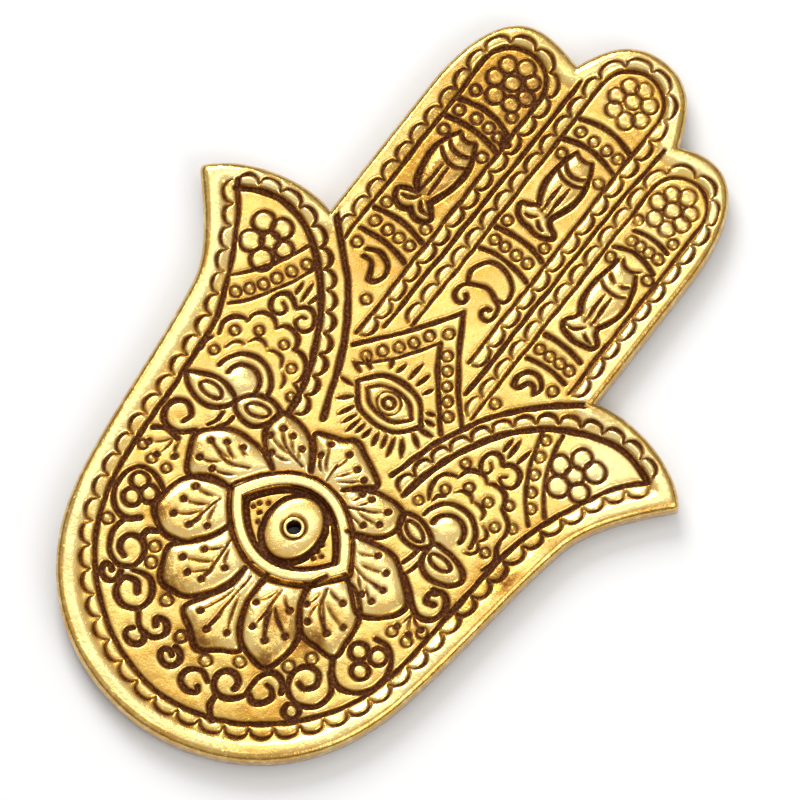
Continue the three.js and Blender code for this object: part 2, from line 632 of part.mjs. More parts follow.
// Everything that is cut into the field.
function carvedLines() {
  const palmLine = [...mirrored(PALM_LINE), ...PALM_LINE.slice(0, -1).reverse()];
  const lines = [palmLine, ...PLAIN_LINES, ...SCROLLS];
  lines.push(...THUMBS.flatMap(({ edge, inner }) => [edge, inner]));
  lines.push(...FINGERS.map(({ fish }) => fishMarks(fish, FISH_TAIL)));
  const cutters = lines.map(lineCutter);
  cutters.push(scallopCutter(lineThrough(palmLine), -1, PALM_SCALLOP));
  cutters.push(...THUMBS.map(({ edge, side }) => scallopCutter(lineThrough(edge), side, PALM_SCALLOP)));
  for (const arch of FINGERS.map(fingerArch)) {
    cutters.push(cutter(carvedPoints(arch, 1)), scallopCutter(arch, 1, FINGER_SCALLOP));
  }
  cutters.push(...[...THUMBS, ...FINGERS].flatMap(({ bands }) => bands.map(bandCutter)));
  for (const centre of FANS.map(mark)) {
    const ring = new THREE.EllipseCurve(centre.x, centre.y, FAN_RING, FAN_RING, 0, Math.PI);
    cutters.push(cutter(carvedPoints(ring, FAN_STEPS / 2)));
  }
  return cutters;
}

// The raised lid round the eye, with rounded shoulders.
function lid() {
  const ring = (distance) => alongChain(inset(eyeOutline(), distance), [LID_STEPS, LID_STEPS]);
  return skin([
    { points: ring(0), z: FIELD - SINK },
    { points: ring(0), z: FIELD + LID_HEIGHT - LID_ROUND },
    { points: ring(LID_ROUND), z: FIELD + LID_HEIGHT },
  ]);
}

// The almond recess inside the lid.
function eyeRecess() {
  const edge = alongChain(inset(eyeOutline(), LID_WIDTH), [LID_STEPS, LID_STEPS]);
  const mouth = alongChain(inset(eyeOutline(), LID_WIDTH - LID_ROUND), [LID_STEPS, LID_STEPS]);
  return skin([
    { points: edge, z: EYE_FLOOR },
    { points: edge, z: FIELD + LID_HEIGHT - LID_ROUND },
    { points: mouth, z: FIELD + LID_HEIGHT + SINK },
  ]);
}

// The dish with its ornament and lid, recessed for the eye and drilled for the socket.
function handPlate() {
  const seat = drill(FLANGE_RADIUS + SEAT_GAP, FLANGE_SEAT, EYE_FLOOR + SINK);
  const hole = drill(SOCKET_RADIUS + SEAT_GAP, UNDERSIDE - SINK, FLANGE_SEAT + SINK);
  const relief = wasm.Manifold.union([solid(dish()), ...raisedPatches()]);
  const body = relief
    .subtract(wasm.Manifold.union(carvedLines()))
    .add(solid(lid()))
    .subtract(solid(eyeRecess()))
    .subtract(seat.translate(IRIS_CENTRE.x, IRIS_CENTRE.y, 0))
    .subtract(hole.translate(IRIS_CENTRE.x, IRIS_CENTRE.y, 0));
  return new THREE.Mesh(geometryOf(body), metal('cast gold metal', GOLD, 0.35));
}

// The iris: an oval dome with an upright edge, open in the middle for the socket.
function irisBoss() {
  const profile = [[0, 0], [1, 0], [1, IRIS_EDGE]];
  for (let i = 1; i <= DOME_STEPS; i++) {
    const slope = (i / DOME_STEPS) * (Math.PI / 2);
    profile.push([Math.cos(slope), IRIS_EDGE + (IRIS_CROWN - IRIS_EDGE) * Math.sin(slope)]);
  }
  profile.at(-1)[0] = 0;
  const dome = turned(profile).scale(IRIS_HALF_WIDTH, IRIS_HALF_HEIGHT, 1);
  const pupil = drill(SOCKET_RADIUS + PUPIL_GROOVE, -SINK, IRIS_CROWN + SINK);
  const gold = metal('polished gold metal', POLISHED_GOLD, 0.25);
  const mesh = new THREE.Mesh(geometryOf(solid(dome).subtract(pupil)), gold);
  mesh.position.set(IRIS_CENTRE.x, IRIS_CENTRE.y, EYE_FLOOR);
  return mesh;
}

// The stick socket: a flanged tube from the underside to the pupil.
function stickSocket() {
  const top = IRIS_TOP - SOCKET_SINK;
  const body = solid(
    turned([
      [0, UNDERSIDE],
      [SOCKET_RADIUS, UNDERSIDE],
      [SOCKET_RADIUS, FLANGE_SEAT],
      [FLANGE_RADIUS, FLANGE_SEAT],
      [FLANGE_RADIUS, EYE_FLOOR],
      [SOCKET_RADIUS, EYE_FLOOR],
      [SOCKET_RADIUS, top],
      [0, top],
    ]),
  );
  const bore = drill(BORE_RADIUS, UNDERSIDE - SINK, top + SINK);
  const gold = metal('turned gold metal', POLISHED_GOLD, 0.25);
  const mesh = new THREE.Mesh(geometryOf(body.subtract(bore)), gold);
  mesh.position.set(IRIS_CENTRE.x, IRIS_CENTRE.y, 0);
  return mesh;
}

// One felt foot, stuck to the underside.
function footPad(x, y) {
  const profile = [
    [0, 0],
    [PAD_RADIUS - PAD_BEVEL, 0],
    [PAD_RADIUS, PAD_BEVEL],
    [PAD_RADIUS, PAD_THICKNESS],
    [0, PAD_THICKNESS],
  ];
  const felt = new THREE.MeshStandardMaterial({ name: 'felt', color: FELT, roughness: 0.95, metalness: 0 });
  const mesh = new THREE.Mesh(geometryOf(solid(turned(profile))), felt);
  mesh.position.set(x, y - MIDDLE_Y, 0);
  return mesh;
}

const holder = new THREE.Group();

function place(name, mesh) {
  mesh.name = name;
  holder.add(mesh);
}

place('hand_plate', handPlate());
place('iris_boss', irisBoss());
place('stick_socket', stickSocket());

const frontPads = PALM_LENGTH + FRONT_PAD_HEIGHT;
place('foot_pad_left_finger', footPad(-FRONT_PAD_OFFSET, frontPads));
place('foot_pad_right_finger', footPad(FRONT_PAD_OFFSET, frontPads));
place('foot_pad_left_palm', footPad(-BACK_PAD_OFFSET, BACK_PAD_HEIGHT));
place('foot_pad_right_palm', footPad(BACK_PAD_OFFSET, BACK_PAD_HEIGHT));

export default holder;
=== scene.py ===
"""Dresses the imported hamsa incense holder: a carved hand dish with an eye that holds one stick.

The ornament is drawn in millimetres from the hand's middle line and its wrist edge, as a maker marks it
out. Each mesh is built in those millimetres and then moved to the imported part's frame, in metres.
"""

from __future__ import annotations

import logging
import math
from collections.abc import Sequence
from dataclasses import dataclass, field, replace
from enum import Enum
from typing import Protocol

import bpy
import numpy as np
from mathutils import Matrix, Vector
from mathutils.geometry import delaunay_2d_cdt

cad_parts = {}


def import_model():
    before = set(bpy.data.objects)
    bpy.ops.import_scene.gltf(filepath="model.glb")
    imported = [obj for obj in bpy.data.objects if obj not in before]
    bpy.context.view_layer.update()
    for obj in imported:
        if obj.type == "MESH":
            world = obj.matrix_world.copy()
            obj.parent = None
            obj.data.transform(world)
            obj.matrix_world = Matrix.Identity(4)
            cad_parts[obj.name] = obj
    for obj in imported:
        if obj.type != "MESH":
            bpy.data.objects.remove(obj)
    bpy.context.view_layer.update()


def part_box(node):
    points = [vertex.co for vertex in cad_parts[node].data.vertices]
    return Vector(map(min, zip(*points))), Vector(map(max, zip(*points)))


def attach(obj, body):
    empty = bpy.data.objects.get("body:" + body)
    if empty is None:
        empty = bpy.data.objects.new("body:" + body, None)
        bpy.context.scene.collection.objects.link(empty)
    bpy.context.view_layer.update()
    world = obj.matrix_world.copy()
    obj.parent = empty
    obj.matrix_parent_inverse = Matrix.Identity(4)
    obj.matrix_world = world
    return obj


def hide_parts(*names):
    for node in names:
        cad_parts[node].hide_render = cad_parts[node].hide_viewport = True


LOG = logging.getLogger("hamsa")

Point = tuple[float, float]
Array = np.ndarray
Line = Sequence[Point] | Array
Link = tuple[Point, Point]
Colour = tuple[float, float, float]

# Two ends of a shallow arch, and its rise
Band = tuple[Point, Point, float]

# The x and y of a round patch, and its radius
Disc = tuple[float, float, float]

# Height of a raised patch over the field, and width of its round shoulder
Mound = tuple[float, float]

# Width of one lobe of a scalloped row, and how far its feet and its crown stand off the row's line
Lobes = tuple[float, float, float]

# Left, bottom, right and top on a bake map
Box = tuple[float, float, float, float]

# Half width, half height, z and cut guide of one ring of a turned piece
Ring = tuple[float, float, float, float]

MM = 0.001
BODY = "root"
BAKE_MAP = "OFBake"

# Names of the values that each gold mesh carries from corner to corner for its finish
CUT_GUIDE = "cut"
CROWN_GUIDE = "crown"
# The stain guide carries real stain, painted shade and painted highlights
STAIN_AND_LIGHT_GUIDE = "stain"

# Longest steps along drawn curves and circles, and the fewest points of a circle and of an arch
CURVE_STEP = 0.35
CIRCLE_STEP = 0.3
CIRCLE_POINTS = 9
ARCH_POINTS = 15

# Seeds of the chance values for the wander and width of lines, the rolling of the field and the felt
WANDER_SEEDS = (21, 31)
WIDTH_SEED = 41
ROLLING_SEED = 11
FELT_SEED = 5

# A box round the hand that points are laid over
HAND_LOW = (-50, 0)
HAND_HIGH = (50, 141)

# Share of each strip of a bake map that its faces fill
MAP_FILL = 0.9

# Least squared length of a link, and a distance that no line reaches
SHORTEST = 1e-9
WELL_OUTSIDE = -9

# Distance at which points of a face are taken as one, and the share of a hole's radius that stays open
TOUCHING = 1e-6
HOLE_SHARE = 0.99


# Drawn lines

def smooth(points: Line, closed: bool = False) -> Array:
    """Runs a smooth curve through points.

    Args:
        points: what it passes, in order.
        closed: whether it returns to its first point.

    Returns:
        Points along the curve.
    """
    knots = np.asarray(points, float)
    if closed:
        padded = np.vstack([knots[-1], knots, knots[:2]])
    else:
        padded = np.vstack([2 * knots[0] - knots[1], knots, 2 * knots[-1] - knots[-2]])
    runs = []
    for before, start, end, after in zip(padded, padded[1:], padded[2:], padded[3:]):
        count = max(2, math.ceil(np.hypot(*(end - start)) / CURVE_STEP))
        t = np.linspace(0, 1, count, endpoint=False)[:, None]
        bend = (2 * before - 5 * start + 4 * end - after) * t**2
        twist = (3 * start - before - 3 * end + after) * t**3
        runs.append(start + 0.5 * ((end - before) * t + bend + twist))
    runs.append(knots[:1] if closed else knots[-1:])
    return np.vstack(runs)


def arc(centre: Point, radius: float, start: float = 0, end: float = 360, squash: float = 1,
        turn: float = 0) -> Array:
    """Part of a circle, or of an oval when it is squashed and turned.

    Args:
        centre: its middle.
        radius: its half width.
        start: where it starts, in degrees.
        end: where it ends, in degrees.
        squash: its height as a share of its width.
        turn: how far the oval is turned, in degrees.

    Returns:
        Points along it.
    """
    count = max(CIRCLE_POINTS, int(abs(math.radians(end - start)) * radius / CIRCLE_STEP))
    angles = np.radians(np.linspace(start, end, count))
    flat = np.stack([radius * np.cos(angles), radius * squash * np.sin(angles)], 1)
    cos, sin = math.cos(math.radians(turn)), math.sin(math.radians(turn))
    return flat @ np.array([[cos, sin], [-sin, cos]]) + np.asarray(centre, float)


def bow(start: Point, end: Point, rise: float) -> Array:
    """Draws a shallow arch.

    Args:
        start: its first end.
        end: its last end.
        rise: how far it stands off its chord, to the left where that is positive.

    Returns:
        Points along it.
    """
    first, last = np.asarray(start, float), np.asarray(end, float)
    chord = last - first
    across = np.array([-chord[1], chord[0]]) / np.hypot(*chord)
    t = np.linspace(0, 1, ARCH_POINTS)[:, None]
    return first + chord * t + across * rise * 4 * t * (1 - t)


def mirrored(points: Line) -> list[Point]:
    """The same points on the other side of the middle line."""
    return [(-x, y) for x, y in points]


def row(places: Sequence[float], height: float) -> list[Point]:
    """Points at one height."""
    return [(x, height) for x in places]


# Carving

class Graver(Enum):
    """Gravers, by the half width and the depth of the line they cut."""

    BROAD = (0.48, 0.6)
    PLAIN = (0.37, 0.55)
    FINE = (0.28, 0.46)
    HAIR = (0.17, 0.26)

    @property
    def half_width(self) -> float:
        """Half the width of its line."""
        return self.value[0]

    @property
    def depth(self) -> float:
        """How deep it cuts."""
        return self.value[1]


@dataclass(frozen=True)
class Stroke:
    """One line of a graver, with its half width at each point."""

    points: Array
    half_widths: Array
    depth: float


@dataclass(frozen=True)
class Swell:
    """A closed patch that stands proud of the field, with a round shoulder."""

    outline: Array
    height: float
    shoulder: float


@dataclass(frozen=True)
class Spot:
    """A round place of brown stain and painted shade, or one painted paler where its strength is below 0,
    mostly as a painted highlight.
    """

    centre: Point
    radius: float
    strength: float


@dataclass
class Carving:
    """Every line, every raised patch, every stain and every painted shade and highlight of the ornament, and
    the sizes that they share.

    A taper is the share of a line's width at its ends, and what is added to that in its middle.
    """

    strokes: list[Stroke] = field(default_factory=list)
    swells: list[Swell] = field(default_factory=list)
    spots: list[Spot] = field(default_factory=list)
    bead_height: float = 0.2
    bead_stain: float = 0.6
    tail_rise: float = 0.25
    tail_half_width: float = 0.04
    tail_gain: float = 0.14
    tail_lean: float = 0.8
    sweep_taper: Point = (0.55, 0.5)
    dash_taper: Point = (0.45, 0.55)
    lobe_taper: Point = (0.4, 0.6)
    lobe_points: int = 11
    lobe_feel: float = 0.6
    lobe_foot: float = 0.6
    lobe_mound: Mound = (0.18, 0.5)
    disc_mound: Mound = (0.22, 0.45)

    def move(self, shift: Point) -> None:
        """Moves everything that has been carved so far."""
        by = np.asarray(shift, float)
        self.strokes = [replace(stroke, points=stroke.points + by) for stroke in self.strokes]
        self.swells = [replace(swell, outline=swell.outline + by) for swell in self.swells]
        self.spots = [replace(spot, centre=tuple(by + spot.centre)) for spot in self.spots]

    def stain(self, centre: Point, radius: float, strength: float) -> None:
        """Marks a round place with stain and painted shade, or paints it paler where the strength is below
        0.
        """
        self.spots.append(Spot(centre, radius, strength))

    def cut(self, points: Line, graver: Graver = Graver.PLAIN, start: float = 1, end: float = 1) -> None:
        """Cuts a line."""
        path = np.asarray(points, float)
        half_widths = graver.half_width * np.linspace(start, end, len(path))
        self.strokes.append(Stroke(path, half_widths, graver.depth))

    def swell(self, outline: Line, height: float, shoulder: float) -> None:
        """Raises a closed patch."""
        self.swells.append(Swell(np.asarray(outline, float), height, shoulder))

    def ring(self, centre: Point, radius: float, graver: Graver = Graver.FINE) -> None:
        """Cuts a circle."""
        self.cut(arc(centre, radius), graver)

    def pit(self, centre: Point, radius: float, depth: float = 0.4) -> None:
        """Punches a round hollow."""
        path = np.array([centre, centre], float)
        self.strokes.append(Stroke(path, np.full(2, radius), depth))

    def beads(self, centres: Sequence[Point], radius: float = 0.92) -> None:
        """Punches small domes with brown stain, each in a round line."""
        for centre in centres:
            self.ring(centre, radius, Graver.HAIR)
            self.swell(arc(centre, radius), self.bead_height, radius)
            self.stain(centre, radius, self.bead_stain)

    def drop(self, start: Point, end: Point, ball: float = 0.6) -> None:
        """Cuts a thin tail that ends in a round hollow.

        Args:
            start: tip of the tail.
            end: middle of the hollow.
            ball: radius of the hollow.
        """
        path = bow(start, end, self.tail_rise if end[0] < start[0] else -self.tail_rise)
        t = np.linspace(0, 1, len(path))
        half_widths = self.tail_half_width + self.tail_gain * np.sin(math.pi * t**self.tail_lean)
        self.strokes.append(Stroke(path, half_widths, Graver.FINE.depth))
        self.pit(end, ball)

    def tapered(self, path: Array, half_width: float, depth: float, taper: Point) -> None:
        """Cuts a path that is broad in its middle and narrow at its ends."""
        share = taper[0] + taper[1] * np.sin(np.linspace(0, math.pi, len(path)))
        self.strokes.append(Stroke(path, half_width * share, depth))

    def sweep(self, points: Line, graver: Graver = Graver.PLAIN) -> None:
        """Cuts a curve through points, with narrow ends."""
        self.tapered(smooth(points), graver.half_width, graver.depth, self.sweep_taper)

    def dash(self, start: Point, end: Point, half_width: float = 0.36) -> None:
        """Cuts a short straight line with narrow ends."""
        self.tapered(bow(start, end, 0), half_width, Graver.PLAIN.depth, self.dash_taper)

    def scallops(self, path: Array, pitch: float, near: float, far: float, side: int,
                 graver: Graver = Graver.PLAIN) -> None:
        """Cuts a row of round lobes beside a path.

        Args:
            path: the line they follow.
            pitch: about how wide one lobe is.
            near: how far the feet of the lobes stand off the path.
            far: how far their crowns stand off it.
            side: 1 for the left of the path and -1 for its right.
            graver: what cuts them.
        """
        run = np.concatenate([[0], np.cumsum(np.hypot(*np.diff(path, axis=0).T))])
        count = max(1, round(run[-1] / pitch))
        t = np.linspace(0, 1, self.lobe_points)
        lobe = near + (far - near) * np.sqrt(1 - (2 * t - 1) ** 2)

        def at(along: Array) -> Array:
            """Points of the path at distances along it."""
            return np.stack([np.interp(along, run, path[:, axis]) for axis in (0, 1)], 1)

        least, gain = self.lobe_taper
        widths = graver.half_width * (least + gain * np.sin(t * math.pi))
        for number in range(count):
            along = (number + t) * run[-1] / count
            heading = at(along + self.lobe_feel) - at(along - self.lobe_feel)
            heading /= np.hypot(heading[:, 0], heading[:, 1])[:, None]
            across = np.stack([-heading[:, 1], heading[:, 0]], 1) * side
            edge = at(along) + across * lobe[:, None]
            foot = at(along) + across * near * self.lobe_foot
            self.strokes.append(Stroke(edge, widths, graver.depth))
            self.swell(np.vstack([edge, foot[::-1]]), *self.lobe_mound)

    def flower(self, discs: Sequence[Disc], half_width: float) -> None:
        """Raises flat discs, each in a round line."""
        for x, y, radius in discs:
            path = arc((x, y), radius + half_width)
            self.strokes.append(Stroke(path, np.full(len(path), half_width), Graver.FINE.depth))
            self.swell(path, *self.disc_mound)


class Ornament(Protocol):
    """A group of the ornament that can be carved."""

    def carve(self, carving: Carving) -> None:
        """Adds its lines and patches.

        Args:
            carving: what they are added to.
        """


@dataclass(frozen=True)
class PalmBorder:
    """The line round the palm from thumb to thumb, with scallops outside it."""

    right: Line = ((41.3, 82), (37, 77), (33.8, 70.5), (31.6, 64.5), (30.3, 59.5), (29.3, 50), (28.9, 42),
                   (28.3, 35), (27.1, 28.5), (24.9, 22.9), (20.7, 16.8), (15.2, 11.9), (8.5, 8.4), (0, 6.8))
    left_thumb: Line = ((-42, 82.2), (-38, 77.2), (-34.4, 70.6))
    lobes: Lobes = (3.9, 0.8, 2.4)

    def carve(self, carving: Carving) -> None:
        """Adds its lines and patches."""
        left = list(self.left_thumb) + mirrored(self.right)[len(self.left_thumb):]
        line = smooth(left + list(self.right[-2::-1]))
        carving.cut(line)
        carving.scallops(line, *self.lobes, -1, Graver.FINE)


@dataclass(frozen=True)
class ThumbPanel:
    """One thumb: two long lines, a scalloped edge, a flower, a band of beads and a sprig."""

    side: int
    edge: Line
    inner: Line
    flower: Sequence[Disc]
    bands: Sequence[Band]
    beads: Sequence[Point]
    cloud: Line
    sprig: Sequence[Link]
    lobes: Lobes = (3.5, 0.85, 2.4)
    flower_line: float = 0.27

    def carve(self, carving: Carving) -> None:
        """Adds its lines and patches."""
        edge = smooth(self.edge)
        carving.cut(edge, Graver.BROAD)
        carving.scallops(edge, *self.lobes, self.side)
        carving.cut(smooth(self.inner), Graver.BROAD)
        carving.flower(self.flower, self.flower_line)
        for start, end, rise in self.bands:
            carving.cut(bow(start, end, rise), Graver.FINE)
        carving.beads(self.beads)
        carving.sweep(self.cloud)
        for start, end in self.sprig:
            carving.dash(start, end)


@dataclass(frozen=True)
class Fish:
    """A fish that hangs head up: two sides, a tail, and lines across and along its body."""

    left: Line
    right: Line
    tail: Line
    lines: Sequence[Line]
    head_share: float = 0.6
    body_mound: Mound = (0.5, 2.4)
    tail_mound: Mound = (0.35, 0.9)

    def carve(self, carving: Carving) -> None:
        """Adds its lines and patches."""
        for side in (self.left, self.right):
            carving.cut(smooth(side), Graver.BROAD, self.head_share, 1)
        carving.cut(smooth(self.tail))
        for line in self.lines:
            carving.sweep(line, Graver.FINE)
        body = smooth(list(self.left) + list(self.right)[::-1], True)
        carving.swell(body, *self.body_mound)
        carving.swell(smooth(self.tail), *self.tail_mound)


@dataclass(frozen=True)
class FingerPanel:
    """One finger: an arched line with scallops, a flower, bands of beads and a fish."""

    left: float
    left_foot: float
    right: float
    right_foot: float
    crown: float
    bands: Sequence[Band]
    beads: Sequence[Point]
    flower: Sequence[Disc]
    fish: Fish
    lobes: Lobes = (3.9, 0.7, 2.1)
    flower_line: float = 0.16
    leg_points: int = 60

    def carve(self, carving: Carving) -> None:
        """Adds its lines and patches."""
        radius = (self.right - self.left) / 2
        spring = self.crown - radius
        arch = np.vstack([
            [(self.left, y) for y in np.linspace(self.left_foot, spring, self.leg_points)][:-1],
            arc(((self.left + self.right) / 2, spring), radius, 180, 0),
            [(self.right, y) for y in np.linspace(spring, self.right_foot, self.leg_points)][1:],
        ])
        carving.cut(arch, Graver.FINE)
        carving.scallops(arch, *self.lobes, 1, Graver.FINE)
        for start, end, rise in self.bands:
            carving.cut(bow(start, end, rise))
        carving.beads(self.beads)
        carving.flower(self.flower, self.flower_line)
        self.fish.carve(carving)


@dataclass(frozen=True)
class Crescent:
    """A crescent moon between two curves."""

    back: Line
    hollow: Line

    def carve(self, carving: Carving) -> None:
        """Adds its lines and patches."""
        carving.cut(smooth(self.back))
        carving.cut(smooth(self.hollow))


@dataclass(frozen=True)
class SmallEye:
    """The small eye over the palm: two lids, an iris, and rays all round."""

    centre: Point = (0.2, 67.2)
    lids: Sequence[tuple[float, float, Graver]] = ((6.4, 4.15, Graver.PLAIN), (4.4, 2.45, Graver.FINE))
    lid_bend: Line = ((-1, 0), (-0.55, 0.8), (0, 1), (0.55, 0.8), (1, 0))
    ball_squash: float = 0.55
    ball_mound: Mound = (0.25, 1.5)
    iris: float = 2.0
    pupil: float = 0.95
    rays: Sequence[Link] = (
        ((-3.2, 72.3), (-4, 73.7)), ((-1.9, 72.4), (-1.7, 74)), ((0.3, 72.5), (0.4, 75.7)),
        ((1.9, 72.4), (2.4, 74.7)), ((3.6, 71.8), (4.4, 73.3)), ((-5.6, 70.2), (-7.2, 71)),
        ((-6.6, 68.6), (-8.7, 69.3)), ((-6.2, 66.2), (-8.7, 66)), ((-5.1, 64.8), (-7, 63)),
        ((-4, 63.6), (-5.2, 61)), ((-2.9, 62.5), (-3.9, 60.2)), ((-2, 62.2), (-2.5, 59.4)),
        ((-0.9, 62), (-1.1, 60.2)), ((0.4, 62), (0.3, 60.2)), ((1.7, 62.3), (2.3, 60.1)),
        ((3, 62.8), (3.7, 60.7)), ((4.3, 63.1), (5.3, 60)), ((5.4, 63.7), (7.2, 61.2)),
        ((6.2, 65.5), (8.4, 64.1)), ((6.6, 66.7), (9, 66.9)), ((6.4, 68.4), (8.2, 68.6)),
        ((5.8, 69.6), (7.4, 70.1)))

    def carve(self, carving: Carving) -> None:
        """Adds its lines and patches."""
        x, y = self.centre
        for half, tall, graver in self.lids:
            for sign in (1, -1):
                bend = [(x + half * share, y + sign * tall * rise) for share, rise in self.lid_bend]
                carving.cut(smooth(bend), graver)
        ball = arc(self.centre, self.lids[1][0], squash=self.ball_squash)
        carving.swell(ball, *self.ball_mound)
        carving.ring(self.centre, self.iris, Graver.HAIR)
        carving.ring(self.centre, self.pupil)
        for start, end in self.rays:
            carving.dash(start, end)


@dataclass(frozen=True)
class Brow:
    """A pointed arch of beads between two lines, over the small eye."""

    outer_left: Line = ((-10.4, 71.6), (-7, 75.8), (-3.3, 80.8), (0.4, 86.6))
    outer_right: Line = ((0.4, 86.6), (3.3, 82), (7.3, 76.3), (11.8, 71.2))
    inner_left: Line = ((-8, 69.4), (-4.6, 72.8), (-2, 76.3), (0.2, 79.6), (0.7, 80.4))
    inner_right: Line = ((0.7, 80.4), (3, 76.5), (6, 72.7), (8, 70.3), (9.9, 68.2))
    beads: Sequence[Point] = (
        (-7.5, 71.4), (-5.9, 73.6), (-4.3, 75.7), (-2.8, 77.8), (-1.4, 80.2), (0.8, 82.3), (2.9, 79.2),
        (4.4, 77.2), (5.9, 75.1), (7.5, 73.1), (9.1, 71.1))

    def carve(self, carving: Carving) -> None:
        """Adds its lines and patches."""
        for line in (self.outer_left, self.outer_right, self.inner_right):
            carving.cut(smooth(line))
        carving.cut(smooth(self.inner_left), Graver.FINE)
        carving.beads(self.beads)


@dataclass(frozen=True)
class Fan:
    """A domed half disc in two half rings, then ripples, beads and a border of lobes."""

    centre: Point
    lobes: Sequence[Line]
    ripples: Sequence[Line]
    beads: Sequence[Point]
    dome: float = 2.6
    dome_mound: Mound = (0.35, 2.2)
    inner_ring: float = 2.75
    inner_ends: Point = (-5, 185)
    outer_ring: float = 4.6
    bead: float = 0.85

    def carve(self, carving: Carving) -> None:
        """Adds its lines and patches."""
        carving.cut(arc(self.centre, self.inner_ring, *self.inner_ends))
        carving.swell(arc(self.centre, self.dome), *self.dome_mound)
        carving.cut(arc(self.centre, self.outer_ring, 0, 180))
        for lobe in self.lobes:
            carving.sweep(lobe)
        for ripple in self.ripples:
            carving.sweep(ripple, Graver.FINE)
        carving.beads(self.beads, self.bead)


@dataclass(frozen=True)
class Leaf:
    """One leaf of a pair under a fan, with an oval in it."""

    outline: Line
    oval: Point
    turn: float
    mound: Mound = (0.3, 1.6)
    oval_half_width: float = 2.0
    oval_squash: float = 0.52

    def carve(self, carving: Carving) -> None:
        """Adds its lines and patches."""
        outline = smooth(self.outline, True)
        carving.cut(outline)
        carving.swell(outline, *self.mound)
        oval = arc(self.oval, self.oval_half_width, squash=self.oval_squash, turn=self.turn)
        carving.cut(oval, Graver.FINE)


@dataclass(frozen=True)
class Petal:
    """One petal of the lotus: its outline from root to root, its vein, and the drops in it.

    Its tip is darker, partly as stain and partly as painted shade, most on the petals that point to the
    wrist; its root is painted paler.
    """

    outline: Line
    vein: Line
    drops: Sequence[Link]
    mound: Mound = (0.58, 2.2)
    tip_dark_from: Point = (25, 1.2)
    tip_dark_to: Point = (45, 0.5)
    tip_dark_radius: float = 2.5
    tip_dark_inset: float = 0.08
    paling_radius: float = 4.0
    paling: float = -0.8
    vein_taper: Point = (0.6, 0.8)

    def carve(self, carving: Carving) -> None:
        """Adds its lines and patches."""
        carving.cut(smooth(self.outline))
        carving.swell(smooth(self.outline, True), *self.mound)
        tip = np.asarray(self.outline[len(self.outline) // 2])
        root = np.add(self.outline[0], self.outline[-1]) / 2
        # Partly stain, partly painted shade: tips darker, most on the petals that point to the wrist
        places, strengths = zip(self.tip_dark_from, self.tip_dark_to)
        tip_darkening = float(np.interp(tip[1], places, strengths))
        carving.stain(tuple(tip + self.tip_dark_inset * (root - tip)), self.tip_dark_radius, tip_darkening)
        carving.stain(tuple(root), self.paling_radius, self.paling)
        carving.cut(smooth(self.vein), Graver.FINE, *self.vein_taper)
        for start, end in self.drops:
            carving.drop(start, end)


@dataclass(frozen=True)
class Scrollwork:
    """Curls, rings, beads and drops in the lower palm."""

    curls: Sequence[Line]
    rings: Sequence[tuple[Point, float]] = ()
    beads: Sequence[Point] = ()
    drops: Sequence[Link] = ()
    bead: float = 1.0
    graver: Graver = Graver.BROAD
    start_share: float = 0.85

    def carve(self, carving: Carving) -> None:
        """Adds its lines and patches."""
        for curl in self.curls:
            carving.cut(smooth(curl), self.graver, self.start_share, 1)
        for centre, radius in self.rings:
            carving.ring(centre, radius, Graver.PLAIN)
        carving.beads(self.beads, self.bead)
        for start, end in self.drops:
            carving.drop(start, end)


